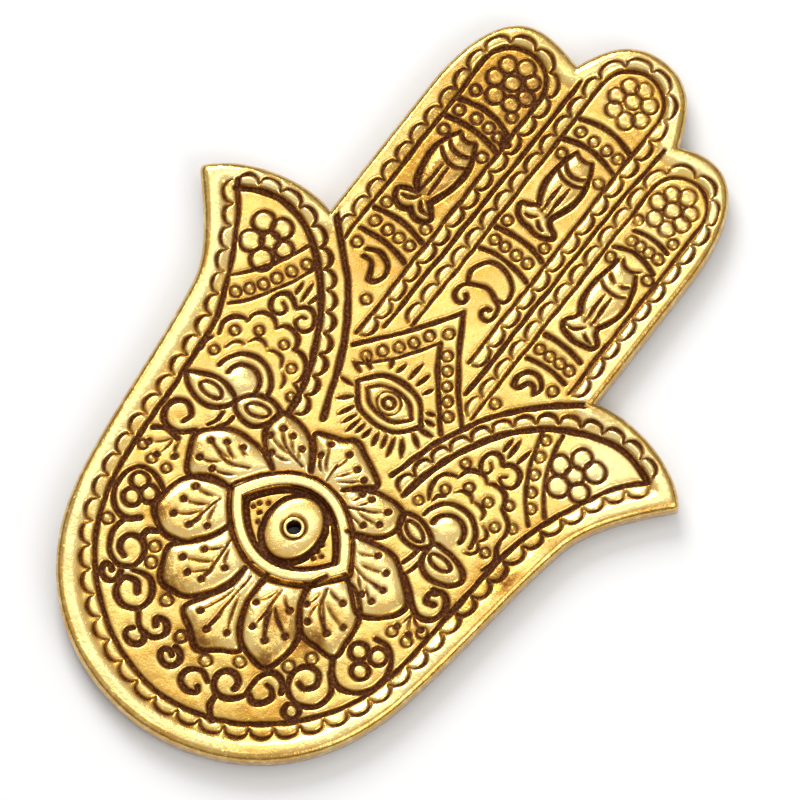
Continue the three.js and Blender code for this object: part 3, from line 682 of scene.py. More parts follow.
THUMBS = (
    ThumbPanel(
        1,
        ((-41.3, 81), (-38, 83), (-34, 83.9), (-30, 83.2), (-26, 81.2), (-21.5, 77.2), (-17.5, 72),
         (-14.5, 66.5), (-12.7, 61), (-11.8, 56.5)),
        ((-26.2, 87.7), (-22.5, 84.2), (-18, 80), (-14.5, 75.5), (-12, 71.3), (-10, 67), (-8.2, 62.5),
         (-6.8, 58.8)),
        ((-31.6, 77.2, 1.27), (-34.4, 79.2, 1.52), (-31.3, 80, 1.47), (-28.9, 77.4, 1.27),
         (-30.8, 74, 1.62), (-34.1, 75.5, 1.57)),
        (((-26, 81), (-33, 69), 0.8), ((-23, 78.3), (-30.5, 65), 0.8)),
        ((-24.5, 77.8), (-25.7, 75.3), (-26.9, 73), (-28, 70.9), (-29.4, 69), (-30.8, 67.2)),
        ((-23.7, 70.4), (-22.7, 69.9), (-22.6, 69), (-23.5, 68.2), (-24.7, 68.4), (-25.4, 69.5),
         (-25.1, 71), (-23.9, 72), (-22.6, 71.7), (-21.5, 71), (-20.5, 71.8), (-19.2, 72.1), (-17.9, 71.2),
         (-17.4, 69.7), (-18.1, 68.5), (-19.4, 68.3), (-20.2, 69.1), (-20, 70.1), (-19.2, 70.4)),
        (((-22.9, 72.6), (-23.3, 74.8)), ((-21.5, 72.3), (-21.8, 75.7)), ((-20.3, 72.6), (-19.8, 75.2))),
    ),
    ThumbPanel(
        -1,
        ((41, 82), (37.5, 83.3), (33, 83.5), (28.5, 82.3), (24, 80), (19.5, 76), (16, 71.3), (13.5, 66),
         (12, 61), (11.2, 56.5)),
        ((25.8, 86.3), (21.5, 82.9), (17.5, 78.9), (14.3, 74.8), (12, 70.8), (10.2, 66.5), (8.8, 62),
         (7.8, 58)),
        ((31.2, 75.7, 1.27), (30.5, 78.6, 1.42), (33.4, 78.1, 1.47), (28.3, 75.7, 1.42), (30.2, 72.6, 1.57),
         (33.4, 73.8, 1.32)),
        (((25.6, 80), (31.6, 67.2), -1.2), ((22.7, 78.3), (30.3, 64.4), -1.2)),
        ((24, 77.5), (24.9, 74.7), (26, 71.9), (27.4, 69.2), (29, 67)),
        ((19.1, 69.3), (19.9, 68.6), (19.8, 67.6), (19, 67.1), (18.2, 67.6), (17.7, 69), (18.1, 70.6),
         (19.2, 71.2), (20.2, 70.9), (21, 70.2), (21.8, 70.9), (23, 71.1), (24.2, 70.5), (24.7, 69.2),
         (24.4, 67.9), (23.3, 67.2), (22.3, 67.5), (21.9, 68.3), (22.6, 68.9)),
        (((19.6, 71.9), (19.5, 74.4)), ((20.9, 71.6), (20.6, 75)), ((22.6, 71.5), (23, 74.6))),
    ),
)

FINGERS = (
    FingerPanel(
        -22.4, 85.2, -11.2, 73.5, 127.9,
        (((-21.6, 114.9), (-11.8, 114.5), 1.1), ((-21.6, 111.3), (-11.8, 111.2), 0.8),
         ((-21.6, 92), (-12, 91.9), 0.8), ((-21.3, 87.9), (-12, 87.5), 0.7)),
        [(-20.5, 117.6), (-13, 117.3), (-20.6, 113.3), (-17.5, 113.8), (-15, 113.7), (-12.8, 113.3),
         (-20.6, 109.2), (-12.8, 109.1), (-20.6, 93.9), (-12.8, 94.1), (-20.3, 85.7), (-13.3, 78.9)]
        + row((-20.2, -17.6, -15.3, -13.1), 90.3),
        ((-16.4, 122.1, 1.3), (-18.9, 124.2, 1.3), (-16.2, 125.4, 1.35), (-13.9, 124.1, 1.2),
         (-13.2, 121.3, 1.25), (-14.5, 119, 1.25), (-17.4, 118.8, 1.4), (-19.2, 121.4, 1.35)),
        Fish(((-18.4, 110.5), (-19.3, 108.5), (-20, 105.5), (-19.8, 102.5), (-19, 99.8), (-17.9, 98.3)),
             ((-14.9, 110.1), (-13.8, 108), (-13.2, 105), (-13.4, 102), (-14.2, 99.5), (-14.9, 98)),
             ((-17.9, 98.3), (-19.4, 97.8), (-20.7, 97), (-20.5, 95.8), (-19.8, 95), (-18.5, 94.6),
              (-17.3, 95), (-16.9, 95.4), (-16.4, 94.9), (-15.2, 94.5), (-13.8, 94.8), (-13.1, 95.9),
              (-13.8, 96.9), (-14.9, 98)),
             (((-18, 110.6), (-17.2, 109.8), (-16, 109.7), (-15.2, 110.4)),
              ((-18.6, 108.2), (-17.6, 107.4), (-16.2, 107.1), (-14.9, 107.5), (-14.1, 108.3)),
              ((-19, 106.5), (-18, 105.6), (-16.6, 105), (-15.2, 105.1), (-13.9, 105.9)),
              ((-17.1, 104.2), (-17.2, 101.5), (-17.6, 98.6)),
              ((-16, 104.2), (-15.9, 101.5), (-15.9, 98.9)),
              ((-19.5, 96.4), (-18.5, 96.5), (-17.5, 97.1), (-17, 98)),
              ((-16.3, 97.3), (-15.6, 96.4), (-14.8, 96.1), (-13.9, 96.2)))),
    ),
    FingerPanel(
        -4.7, 80, 6.2, 80.5, 136.3,
        (((-4.1, 124), (5.7, 124), 1.1), ((-4.1, 119.7), (5.7, 119.7), 1.1), ((-4, 101.2), (5.5, 101), 0.8),
         ((-4, 96.9), (5.5, 96.8), 0.8)),
        [(-3, 117.5), (4.9, 117), (-3.1, 103.2), (4.4, 103)] + row((-2.7, 0, 2.6, 4.9), 122.2)
        + row((-2.8, -0.7, 1.6, 3.8), 99.4),
        ((0.9, 131.4, 1.25), (-1, 133.2, 1.25), (1.3, 134, 1.25), (3.4, 132.4, 1.25), (3.8, 129.7, 1.2),
         (1.9, 128.1, 1.3), (-0.7, 128.5, 1.25), (-1.7, 130.7, 1.25)),
        Fish(((-1.2, 119.1), (-1.8, 117), (-2.2, 114), (-2, 111.5), (-1.4, 109.5), (-0.8, 108.4)),
             ((2.1, 119.1), (3, 117.5), (3.7, 115), (3.8, 112.5), (3.2, 110), (2.3, 107.6)),
             ((-0.8, 108.4), (-1.9, 107.6), (-3.2, 107), (-3.1, 105.9), (-2.4, 105), (-1, 104.4),
              (0.4, 104.3), (1.6, 104), (3.3, 104.2), (4.5, 104.9), (4.3, 105.8), (3.2, 106.3),
              (2.5, 106.9), (2.3, 107.6)),
             (((-1, 119.2), (-0.2, 118.7), (0.8, 118.6), (1.4, 118.7), (2, 119.2)),
              ((-1.3, 116.5), (-0.3, 115.6), (1, 115.3), (2.3, 115.7), (3.1, 116.5)),
              ((-1.6, 114.9), (-0.4, 114.2), (1, 114), (2.3, 114.2), (3.4, 115)),
              ((0.3, 113), (0.3, 110.5), (0.2, 107.8)), ((1.7, 113.2), (1.6, 110.5), (1.5, 107.3)),
              ((-1.6, 105.8), (-0.6, 105.9), (0.3, 106.5)), ((0.7, 106), (1.6, 105.2), (2.6, 105)))),
    ),
    FingerPanel(
        12.3, 73.2, 22.2, 86, 126.4,
        (((14.2, 114.3), (20.6, 114.2), 0.6), ((13.2, 110.2), (20.9, 110.2), 1),
         ((13.2, 91.7), (20.6, 91.3), 0.3), ((13.2, 86.8), (20.7, 86.9), 0.4)),
        [(13.6, 116), (20.5, 116), (13.8, 108.4), (20.9, 108.8), (19.9, 84.7), (13.8, 77.5)]
        + row((15, 16.7, 18.4, 20.1), 112.6)
        + row((14, 16, 18, 19.9), 89.1),
        ((17.1, 120.7, 1.25), (15.4, 122.7, 1.2), (17.7, 123.8, 1.3), (19.7, 121.9, 1.15),
         (19.6, 119.6, 1.2), (18.2, 117.6, 1.2), (15.6, 117.9, 1.25), (14.4, 120.4, 1.3)),
        Fish(((15.1, 108.8), (14.8, 107), (14.2, 104), (14.1, 101.5), (14.5, 99.5), (15.4, 97.9)),
             ((19, 108.2), (19.9, 106.5), (20.7, 104), (20.9, 101.5), (20.3, 99.3), (19.3, 97.6)),
             ((15.4, 97.9), (15.2, 96.9), (14.4, 96), (14.2, 95.2), (14.8, 94.2), (16, 93.8), (17.5, 93.5),
              (19.2, 93.8), (20.5, 94.1), (21.1, 94.9), (20.7, 95.7), (19.7, 96.5), (19.3, 97.6)),
             (((15.7, 109.4), (16.5, 108.5), (17.4, 108.3), (18.3, 108.5), (19.3, 109.3)),
              ((15.5, 106.1), (16.2, 105.5), (17.1, 105.1)), ((18, 105.3), (18.7, 105.4), (19.4, 106)),
              ((14.9, 104.3), (16, 103.6), (17.5, 103.4), (18.9, 103.6), (19.9, 104.2)),
              ((16.8, 102.6), (16.8, 100), (16.9, 97.1)), ((18.1, 102.6), (18.1, 100), (18.1, 97.3)),
              ((14.9, 94.9), (16.2, 95), (17, 95.6), (17.6, 96.3)),
              ((18.1, 95.4), (18.9, 94.9), (20, 94.6)))),
    ),
)

CRESCENTS = (
    Crescent(((-18.3, 85.7), (-16.4, 86.5), (-14.2, 85.7), (-13.2, 83.8), (-13.9, 82.1), (-15.1, 81.8)),
             ((-18, 84.4), (-16.5, 84.5), (-15.6, 83.4), (-15.1, 81.8))),
    Crescent(((-2.1, 91), (-2.8, 92.9), (-2.3, 94.5), (-1, 95.9), (0.7, 96.4), (2.8, 95.8), (4.4, 94.4),
              (4.9, 92.9), (4.5, 91.7), (3.3, 91.3)),
             ((-2.1, 91), (-0.6, 91.5), (0.9, 92.1), (2.3, 91.9), (3.3, 91.3))),
    Crescent(((14.1, 81.9), (13.9, 83.6), (14.9, 85.1), (16.6, 85.3), (18.1, 84), (17.7, 82.4)),
             ((14.1, 81.9), (15.1, 82), (15.8, 83.4), (17, 83.5), (17.7, 82.4))),
)

FANS = (
    Fan((-20.9, 55.9),
        (((-29.4, 56.2), (-29.8, 57.6), (-29.3, 59)),
         ((-28.8, 60), (-29.4, 61.8), (-28.9, 63.4), (-27.8, 64.3), (-26.6, 64.7)),
         ((-26.4, 64.4), (-26.3, 66), (-25.2, 67.2), (-23.7, 67.5), (-22.4, 66.9), (-21.9, 66.3)),
         ((-21.9, 66.3), (-21.1, 67.4), (-19.6, 67.7), (-18.1, 67.1), (-17.5, 65.9), (-17.6, 65.2)),
         ((-17.6, 65.3), (-16.2, 65.3), (-14.7, 64.7), (-13.8, 63.3), (-13.7, 61.8), (-14.1, 60.7)),
         ((-14.1, 60.7), (-12.8, 60.2), (-11.9, 58.9), (-12, 57.4))),
        (((-26.5, 58.8), (-26.2, 60.2), (-25.2, 61), (-24.5, 61)),
         ((-24.2, 61.8), (-23.6, 62.9), (-22.4, 63.3), (-21.3, 62.8)),
         ((-20.8, 62.5), (-19.7, 63), (-18.2, 62.8), (-17.3, 61.4)),
         ((-16.6, 61), (-15.6, 60.1), (-15.3, 58.8))),
        ((-27.1, 61.9), (-27.6, 57.4), (-23.9, 64.3), (-19.3, 64.8), (-15.9, 62.4), (-13.1, 58.6))),
    Fan((20.4, 55.9),
        (((14.8, 58.4), (13.9, 60.1), (13.8, 62), (14.6, 63.5), (16.3, 64.2)),
         ((16.4, 64.1), (16.8, 65.7), (18.1, 66.7), (19.6, 66.9), (20.8, 66.1)),
         ((20.8, 66.1), (22.2, 66.7), (23.8, 66.5), (24.9, 65.5), (25.2, 64.2)),
         ((25.2, 64.1), (26.3, 63.5), (27.6, 62.6), (28.2, 61.2), (28.1, 59.9)),
         ((28.1, 59.8), (28.5, 58.4), (29.3, 57.3), (29.4, 55.8), (28.7, 54.2))),
        (((15.4, 58.6), (15.7, 59.8), (16.8, 60.4)), ((17.6, 61.9), (18.4, 62.8), (19.9, 63), (20.9, 62.3)),
         ((21, 62.5), (22.4, 62.5), (23.4, 61.9), (23.7, 60.8)),
         ((24.4, 60.2), (25.6, 59.6), (26, 58.6), (25.3, 57.5)),
         ((25.3, 57.4), (26.2, 56.4), (25.7, 55.2), (24.7, 54.7))),
        ((16.1, 61.3), (18.9, 63.8), (22.8, 63.7), (26.1, 61), (27.4, 56.7), (28.6, 62.5), (25.9, 65.2),
         (13.6, 57.3), (16, 66.6))),
)

LEAVES = (
    Leaf(((-28.9, 51.7), (-26.5, 53.3), (-23.5, 54), (-20, 53), (-20.6, 51), (-23, 49.3), (-26, 49.6)),
         (-24, 51.7), 0),
    Leaf(((-19.7, 52.8), (-18, 55.3), (-15, 56.2), (-12.8, 55.3), (-13.3, 53), (-15.2, 51), (-18.3, 51.2)),
         (-16, 53.6), 18),
    Leaf(((13.1, 54.2), (15.5, 54.9), (18.2, 54), (19.7, 52.8), (18.4, 50.9), (15.6, 50.6), (13.7, 51.8)),
         (16.2, 52.7), -16),
    Leaf(((19.8, 52.9), (22.5, 53.3), (25.8, 52.3), (27.3, 50.6), (25.8, 48.6), (22.6, 47.9), (20.2, 49.3)),
         (22.6, 51), -3),
)

LOTUS = (
    Petal(((-2.9, 50.6), (-4.4, 53.5), (-6.3, 56.1), (-2.6, 57.6), (0, 59), (2.7, 57.8), (7, 55.3),
           (5, 53.2), (3, 51.2)),
          ((-0.1, 51), (-0.1, 52.5), (0, 53.8)),
          (((-0.8, 52), (-3.1, 56.1)), ((0.1, 53.5), (0.4, 56.4)), ((0.7, 52), (2.9, 55.3)),
           ((-1.4, 51.5), (-3.3, 53.7)), ((1.4, 51.6), (4.8, 54.5)))),
    Petal(((-3, 50.6), (-4.6, 53.2), (-7.4, 55.4), (-12.2, 55.8), (-13.1, 52.3), (-11.4, 49.5), (-8, 47.2)),
          ((-4.4, 50.4), (-7, 50.9), (-8.6, 51.3)),
          (((-6.5, 49.9), (-10, 49.2)), ((-7.2, 50.8), (-11.8, 51.4)), ((-8.3, 51.1), (-10.7, 53.5)),
           ((-6.8, 51.2), (-8.7, 53.4)), ((-5.6, 50.9), (-6.2, 52.7)))),
    Petal(((3, 51.2), (5.6, 53.4), (9, 54.5), (12.7, 54.2), (13.8, 51.2), (12.3, 48.3), (7.8, 46)),
          ((5, 49.2), (6.4, 49.8), (8, 50.6)),
          (((5.4, 50.8), (6, 52.6)), ((6.6, 50.6), (7.8, 52.8)), ((7.4, 50.4), (11, 52.6)),
           ((7.4, 49.7), (11.2, 50.1)), ((6.4, 48.7), (9.2, 48.4)))),
    Petal(((-8, 47.2), (-12.5, 48.9), (-17.6, 48.5), (-21.4, 45), (-20.6, 41.5), (-18.3, 38.4), (-14.5, 40),
           (-11.5, 40.7)),
          ((-11, 45), (-14.5, 43.6), (-18.9, 44.9)),
          (((-12.6, 46.2), (-14, 47.2)), ((-13.8, 44.6), (-16.6, 46.3)), ((-12, 42.8), (-15.8, 41.3)),
           ((-15.3, 43), (-18.6, 41.6)), ((-14.5, 44.2), (-18.9, 44.9)))),
    Petal(((7.8, 46), (12.3, 47.2), (16, 47.4), (19.5, 45.3), (22.7, 42.2), (21.5, 38.8), (17.5, 36.4),
           (14.6, 38.2), (12.5, 39.9)),
          ((11.3, 42.5), (14.5, 41.6), (18.2, 41.9)),
          (((11.4, 44.4), (14.2, 46)), ((13, 43.2), (16.9, 44.4)), ((13.5, 41.6), (15.8, 39.2)),
           ((16, 41.7), (18.2, 41.8)), ((15.6, 40.5), (17.8, 39.2)))),
    Petal(((-11.2, 40.7), (-15.3, 40.2), (-18.6, 37.2), (-19.6, 33.2), (-19.2, 30.3), (-15.6, 28.2),
           (-11.7, 29.4), (-9, 33), (-7.9, 36)),
          ((-11.9, 38), (-12.6, 34.5), (-13.3, 31.7)),
          (((-12.7, 38), (-16.2, 37.4)), ((-12.5, 36.4), (-16.4, 34.6)), ((-12.8, 35), (-16.2, 31.7)),
           ((-11.6, 36.8), (-10.8, 33.4)), ((-12.5, 34), (-13.2, 31.7)))),
    Petal(((12.5, 39.7), (15.3, 38.6), (17.8, 36), (18.7, 31.8), (18.6, 28.2), (15, 27.9), (11.8, 28.3),
           (9.2, 31.6), (8.3, 35), (9.6, 38)),
          ((11, 36.5), (12.2, 33), (15.2, 30.4)),
          (((11.6, 36.6), (14.4, 36.2)), ((12.6, 34.4), (16.8, 33.2)), ((11.7, 34.5), (15.3, 30.6)),
           ((10.5, 35), (9.8, 32.6)), ((11.4, 33.6), (11.6, 30.3)))),
    Petal(((-7.9, 36), (-9.2, 32.6), (-11.5, 29.6), (-13.6, 27.2), (-12.8, 24.3), (-11, 21.6), (-6.6, 22.1),
           (-3.6, 25.2), (-2, 28.6), (-1.8, 31.7)),
          ((-6.3, 34), (-5.9, 30), (-6.2, 25.7)),
          (((-6.2, 32.5), (-8.7, 30)), ((-5.9, 29.5), (-10.8, 26.8)), ((-5.8, 28.5), (-8.6, 25.3)),
           ((-5.4, 32.3), (-4.1, 29.5)), ((-5.9, 29), (-6.1, 25.8)))),
    Petal(((1.8, 31.7), (2, 27.6), (3.6, 23.6), (6.2, 20.9), (11, 20.2), (12.3, 24.3), (11.9, 27.8),
           (9.4, 31.4), (8.2, 34.6)),
          ((5.2, 32), (5.6, 28), (8.1, 23.8)),
          (((4.8, 31.5), (3.2, 28)), ((5.4, 29), (5.3, 24.4)), ((6, 28.5), (8.2, 23.8)),
           ((6.3, 31.4), (8.4, 30)), ((6.2, 29), (10.4, 26.3)))),
    Petal(((-1.7, 31.7), (-1.9, 28), (-3.6, 24.4), (-5.6, 20.5), (-2.6, 18), (0.3, 16), (3.2, 18),
           (5.9, 20.2), (3.4, 23.4), (2, 27.6), (1.7, 31.7)),
          ((0, 31), (-0.3, 26), (-0.4, 19.7)),
          (((-1, 27.5), (-3, 21.5)), ((0.4, 27.3), (2.7, 21.2)), ((-0.3, 24), (-0.4, 19.6)))),
)

SCROLLS = (
    # Stems of the leaves, and the lines between the fingers
    Scrollwork(
        (((-20.3, 50), (-20.3, 48.4), (-21, 47)), ((-18.5, 50.4), (-18.6, 49), (-19.6, 47.4)),
         ((18.5, 50.4), (18.3, 49), (17.9, 47.4)), ((20, 49), (19.8, 47.6), (19.4, 46.6)),
         ((-7.7, 129), (-8, 100), (-8.3, 77)), ((9.9, 127.8), (9.3, 112), (9, 76)),
         ((-1.3, 91.2), (-2.2, 90.6), (-2.7, 89.6), (-2.6, 88.1), (-1.6, 87.4), (-0.7, 87.7), (-0.5, 88.6),
          (-1.1, 89.2)),
         ((3.3, 91.3), (4.5, 90.6), (5, 89), (4.6, 87.8), (3.5, 87.6), (2.8, 88.3), (3.1, 89.2),
          (3.8, 89.4))),
        graver=Graver.PLAIN,
    ),
    # Left of the lotus, from the top down
    Scrollwork(
        (((-24.4, 45), (-24.1, 46.6), (-25.8, 47.9), (-27.6, 46.8), (-28, 44.7), (-26.6, 43), (-24.2, 43),
          (-22, 44.8)),
         ((-27.7, 41.3), (-26, 42.4), (-23.5, 42.2)),
         ((-20.2, 34), (-22.6, 35), (-25.2, 34.8), (-26.7, 32.4), (-26.4, 29.2), (-24.6, 27), (-22, 26.6),
          (-20.2, 28)),
         ((-22, 26.8), (-22.4, 23.8), (-21, 20.9), (-18.6, 19.7), (-16.4, 20.8), (-15.9, 22.8),
          (-16.6, 24.6), (-18.2, 25.4), (-19.8, 24.8), (-20.3, 23.2), (-19.6, 21.9), (-18.4, 21.5)),
         ((-16.6, 27.9), (-18, 27), (-18.2, 25.6)),
         ((-18.6, 18.3), (-19.3, 18.9), (-20.2, 18.4), (-20, 17.1), (-18.8, 16.5), (-17.5, 16.9),
          (-17.1, 18.1), (-17.3, 19)),
         ((-9.9, 12.9), (-10.6, 12), (-10.2, 11), (-9, 10.6), (-7.8, 11.1), (-7.4, 12.3), (-8, 13.4)),
         ((-15.8, 20.4), (-12.8, 20.9), (-10.9, 18.8), (-11.2, 16), (-13.6, 14.8), (-16, 16), (-16.2, 18.4),
          (-14.3, 19.2), (-13, 17.8)),
         ((-10.8, 15.4), (-9.2, 13.6), (-6.6, 13.4), (-5.4, 15.2), (-6.4, 16.8), (-8, 16.4), (-7.4, 15.3)),
         ((-2.2, 13), (-3, 13.5), (-4, 13), (-3.9, 11.9), (-2.7, 11.2), (-1.3, 11.5), (-0.7, 12.8),
          (-1.3, 13.9), (-2.6, 14.3))),
        (((-23.4, 29.9), 1.45), ((-24, 32.8), 1.45), ((-21.4, 32), 1.45)),
        ((-27.2, 38), (-24.7, 36.9), (-21.8, 37)),
        (((-24, 41.8), (-26.8, 39)), ((-24, 41.8), (-24.5, 38)), ((-23, 42), (-22, 39.4))), 0.85,
    ),
    # Right of the lotus, from the top down
    Scrollwork(
        (((25.4, 46.6), (24.4, 45.9), (24.9, 44.6), (26.2, 44.9)),
         ((24.5, 46.8), (26.5, 47.2), (28, 45.4), (27.6, 43), (25.6, 41.9), (23.6, 42.6), (21.4, 44.6),
          (19.2, 46)),
         ((22, 34.8), (24.2, 34.9), (26.4, 33.2), (27.2, 30.2), (26, 26.8), (22.8, 24.9), (20.2, 25.8),
          (18.8, 27.8)),
         ((19.6, 26), (21.7, 23.4), (21.2, 20.2), (18.4, 18.6), (15.8, 19.8), (15, 22.6), (16.2, 24.6),
          (18.2, 24.8), (19.2, 23), (18.2, 21.4), (16.8, 21.6)),
         ((10.9, 16.5), (11, 18.3), (12, 20), (13.4, 20.5), (14.8, 19.8), (15.4, 18.6)),
         ((12.8, 18.2), (13.8, 18.1), (14.6, 16.9), (14, 15.3), (12.6, 14.7), (11.6, 15.2)),
         ((10.9, 16.5), (10.9, 14.6), (9.6, 12.9), (7.8, 12.3), (6.1, 13), (5.5, 14.8), (6.2, 16.2),
          (7.6, 16.6), (8.9, 15.9), (9.1, 14.7)),
         ((7.4, 12.2), (7.5, 10.4), (8.4, 9.2), (9.4, 8.4)),
         ((5, 12.9), (3, 13.7), (1.2, 12.4), (1.2, 10.6), (2.9, 9.8), (4.6, 10.4), (4.2, 11.3))),
        (((23.3, 29.1), 1.45), ((21.2, 31.6), 1.45), ((24.2, 32.7), 1.45), ((18.5, 17), 1.3)),
        ((23.4, 37.3), (26.3, 37.4), (27.5, 40.1)),
        (((24.2, 42), (23.5, 38.5)), ((24.2, 42), (25.9, 38.6)), ((24.2, 42), (27, 40.4))), 0.95,
    ),
    # Beads between the petals' tips
    Scrollwork(
        (),
        beads=((-24.3, 24.7), (-15.3, 25.6), (-14.2, 23.1), (-8.5, 19.7), (-3, 16.2), (7, 18.6),
               (2.6, 15.4), (13.8, 22.7), (16, 26)),
    ),
)


# Outlines of the dish

@dataclass(frozen=True)
class Chain:
    """A closed anticlockwise chain of curves.

    Every third point is an end, and the two between are handles.
    """

    points: Array

    def inset(self, distance: float) -> Chain:
        """Moves each leg inwards and joins the legs again where they cross.

        Args:
            distance: how far they move.

        Returns:
            The new chain.
        """
        arriving = self.points - np.roll(self.points, 1, 0)
        leaving = np.roll(self.points, -1, 0) - self.points
        arriving = arriving / np.hypot(arriving[:, 0], arriving[:, 1])[:, None]
        leaving = leaving / np.hypot(leaving[:, 0], leaving[:, 1])[:, None]
        both = arriving + leaving
        mitre = np.stack([-both[:, 1], both[:, 0]], 1)
        return Chain(self.points + mitre * (2 * distance / (mitre**2).sum(1))[:, None])

    def steps(self, facet: float) -> list[int]:
        """Counts the steps that each curve takes.

        Args:
            facet: longest step.

        Returns:
            The count for each curve.
        """
        counts = []
        for first in range(0, len(self.points), 3):
            corners = np.take(self.points, range(first, first + 4), 0, mode="wrap")
            counts.append(max(2, math.ceil(np.hypot(*np.diff(corners, axis=0).T).sum() / facet)))
        return counts

    def trace(self, steps: Sequence[int]) -> Array:
        """Walks along the chain.

        Args:
            steps: how many steps each curve takes.

        Returns:
            Points along it.
        """
        runs = []
        for number, count in enumerate(steps):
            a, b, c, d = np.take(self.points, range(3 * number, 3 * number + 4), 0, mode="wrap")
            t = np.linspace(0, 1, count, endpoint=False)[:, None]
            runs.append((1 - t) ** 3 * a + 3 * (1 - t) ** 2 * t * b + 3 * (1 - t) * t**2 * c + t**3 * d)
        return np.vstack(runs)


@dataclass(frozen=True)
class HandOutline:
    """The edge of the hand. Heights run from the wrist edge, and half widths from the middle line."""

    palm_length: float = 86.6
    palm_side: Point = (32.4, 28.3)
    wrist_fullness: float = 9.1
    palm_fullness: float = 23.5
    palm_lean: float = 0.19
    waist: Point = (37.2, 63.7)
    waist_lean: float = 0.19
    left_thumb: Point = (48.1, 79.8)
    right_thumb: Point = (48.1, 80.6)
    flare_lean: float = 0.93
    thumb_crest: float = 2.2
    thumb_pitch: float = 1.43
    finger_half_width: float = 26.8
    left_top: float = 131.3
    right_top: float = 130.4
    top_offset: float = 16.9
    shoulder: float = 18.4
    shoulder_fullness: float = 0.75
    notch_depth: float = 1.2
    middle_half_width: float = 10.7
    middle_shift: float = 1
    middle_tip: float = 139.25
    tip_lean: float = 0.41
    tip_fullness: float = 0.61
    facet: float = 0.34
    tip_round: float = 1.2
    tip_pull: float = 0.5
    tip_passes: int = 8

    def side(self, sign: int) -> list[Point]:
        """Ends and handles of one side, from the wrist to the tip of the middle finger.

        Args:
            sign: 1 for the right side and -1 for the left.

        Returns:
            The points in order.
        """
        palm_x, palm_y = self.palm_side
        waist_x, waist_y = self.waist
        thumb_x, thumb_y = self.right_thumb if sign > 0 else self.left_thumb
        top = self.right_top if sign > 0 else self.left_top
        finger_x = self.finger_half_width
        rise = (waist_y - palm_y) / 3
        flare = (thumb_y - waist_y) / 3
        thumb = (thumb_x - finger_x) / 3
        shoulder_y = top - self.shoulder
        straight = (shoulder_y - self.palm_length) / 3
        notch_x = self.middle_half_width + sign * self.middle_shift
        notch_y = top - self.notch_depth
        notch = (self.top_offset - notch_x) / 3
        tip = (self.middle_tip - notch_y) / 2
        points = [
            (0, 0),
            (self.wrist_fullness, 0),
            (palm_x - self.palm_lean * self.palm_fullness, palm_y - self.palm_fullness),
            (palm_x, palm_y),
            (palm_x + self.palm_lean * rise, palm_y + rise),
            (waist_x - self.waist_lean * rise, waist_y - rise),
            (waist_x, waist_y),
            (waist_x + self.waist_lean * flare, waist_y + flare),
            (thumb_x - self.flare_lean * flare, thumb_y - flare),
            (thumb_x, thumb_y),
            (thumb_x - thumb / 2, thumb_y + self.thumb_pitch * thumb / 2),
            (finger_x + thumb, self.palm_length + self.thumb_crest),
            (finger_x, self.palm_length),
            (finger_x, self.palm_length + straight),
            (finger_x, shoulder_y - straight),
            (finger_x, shoulder_y),
            (finger_x, shoulder_y + self.shoulder / 2),
            (self.top_offset + (finger_x - self.top_offset) * self.shoulder_fullness, top),
            (self.top_offset, top),
            (self.top_offset - notch, top),
            (notch_x + notch, notch_y + self.notch_depth / 2),
            (notch_x, notch_y),
            (notch_x - self.tip_lean * tip, notch_y + tip),
            (sign * self.middle_shift + self.middle_half_width * self.tip_fullness, self.middle_tip),
            (sign * self.middle_shift, self.middle_tip),
        ]
        return [(sign * x, y) for x, y in points]

    def chain(self) -> Chain:
        """The whole edge, from the wrist round by the right thumb."""
        left = self.side(-1)[::-1]
        return Chain(np.array(self.side(1) + left[1:-1], float))

    def ring(self, inset: float) -> Array:
        """Walks round the edge at a distance inside it.

        Args:
            inset: the distance.

        Returns:
            Points round it, equally many at every distance.
        """
        chain = self.chain()
        steps = chain.steps(self.facet)
        outer = chain.trace(steps)
        points = chain.inset(inset).trace(steps) if inset else outer.copy()
        for sign, (reach, height) in ((-1, self.left_thumb), (1, self.right_thumb)):
            away = np.hypot(*(outer - (sign * reach, height)).T)
            pull = self.tip_pull * np.clip(1 - away / self.tip_round, 0, 1)[:, None]
            for _ in range(self.tip_passes):
                points += pull * ((np.roll(points, 1, 0) + np.roll(points, -1, 0)) / 2 - points)
        return points


@dataclass(frozen=True)
class EyeShape:
    """The almond of the big eye and the oval of its iris."""

    centre: Point = (0.65, 39.96)
    half_width: float = 11.9
    rise: float = 9.5
    fall: float = 8.3
    fullness: float = 0.48
    side_steps: int = 80
    lid_width: float = 2.3
    groove_offset: float = 0.3
    iris_centre: Point = (0.85, 40.66)
    iris_half_width: float = 4.3
    iris_half_height: float = 5.5
    pits: Sequence[Point] = ((-6.8, 0.8), (-7.3, -0.2), (-5.7, 1.7), (-5.9, -0.4), (-5.2, -1.7), (5.5, 1.2),
                             (5.6, 0), (6.6, -0.3), (5.8, -1.3))
    pit: float = 0.38
    pit_depth: float = 0.35
    pit_stain: float = 0.5
    pit_stain_radius: float = 1.1

    def almond(self, inset: float = 0) -> Array:
        """Walks round the outside of the lid, or at a distance inside it.

        Args:
            inset: the distance.

        Returns:
            Points round it.
        """
        handle = self.half_width * self.fullness
        upper, lower = self.rise * 4 / 3, self.fall * 4 / 3
        corners = np.array([(-self.half_width, 0), (-handle, -lower), (handle, -lower), (self.half_width, 0),
                            (handle, upper), (-handle, upper)], float)
        return Chain(corners + self.centre).inset(inset).trace([self.side_steps, self.side_steps])

    def carve(self, carving: Carving) -> None:
        """Adds the line round the lid and the pits in the corners."""
        outside = self.almond(-self.groove_offset)
        carving.cut(np.vstack([outside, outside[:1]]), Graver.FINE)
        for x, y in self.pits:
            place = (self.centre[0] + x, self.centre[1] + y)
            carving.pit(place, self.pit, self.pit_depth)
            carving.stain(place, self.pit_stain_radius, self.pit_stain)


# Heights of the carved face

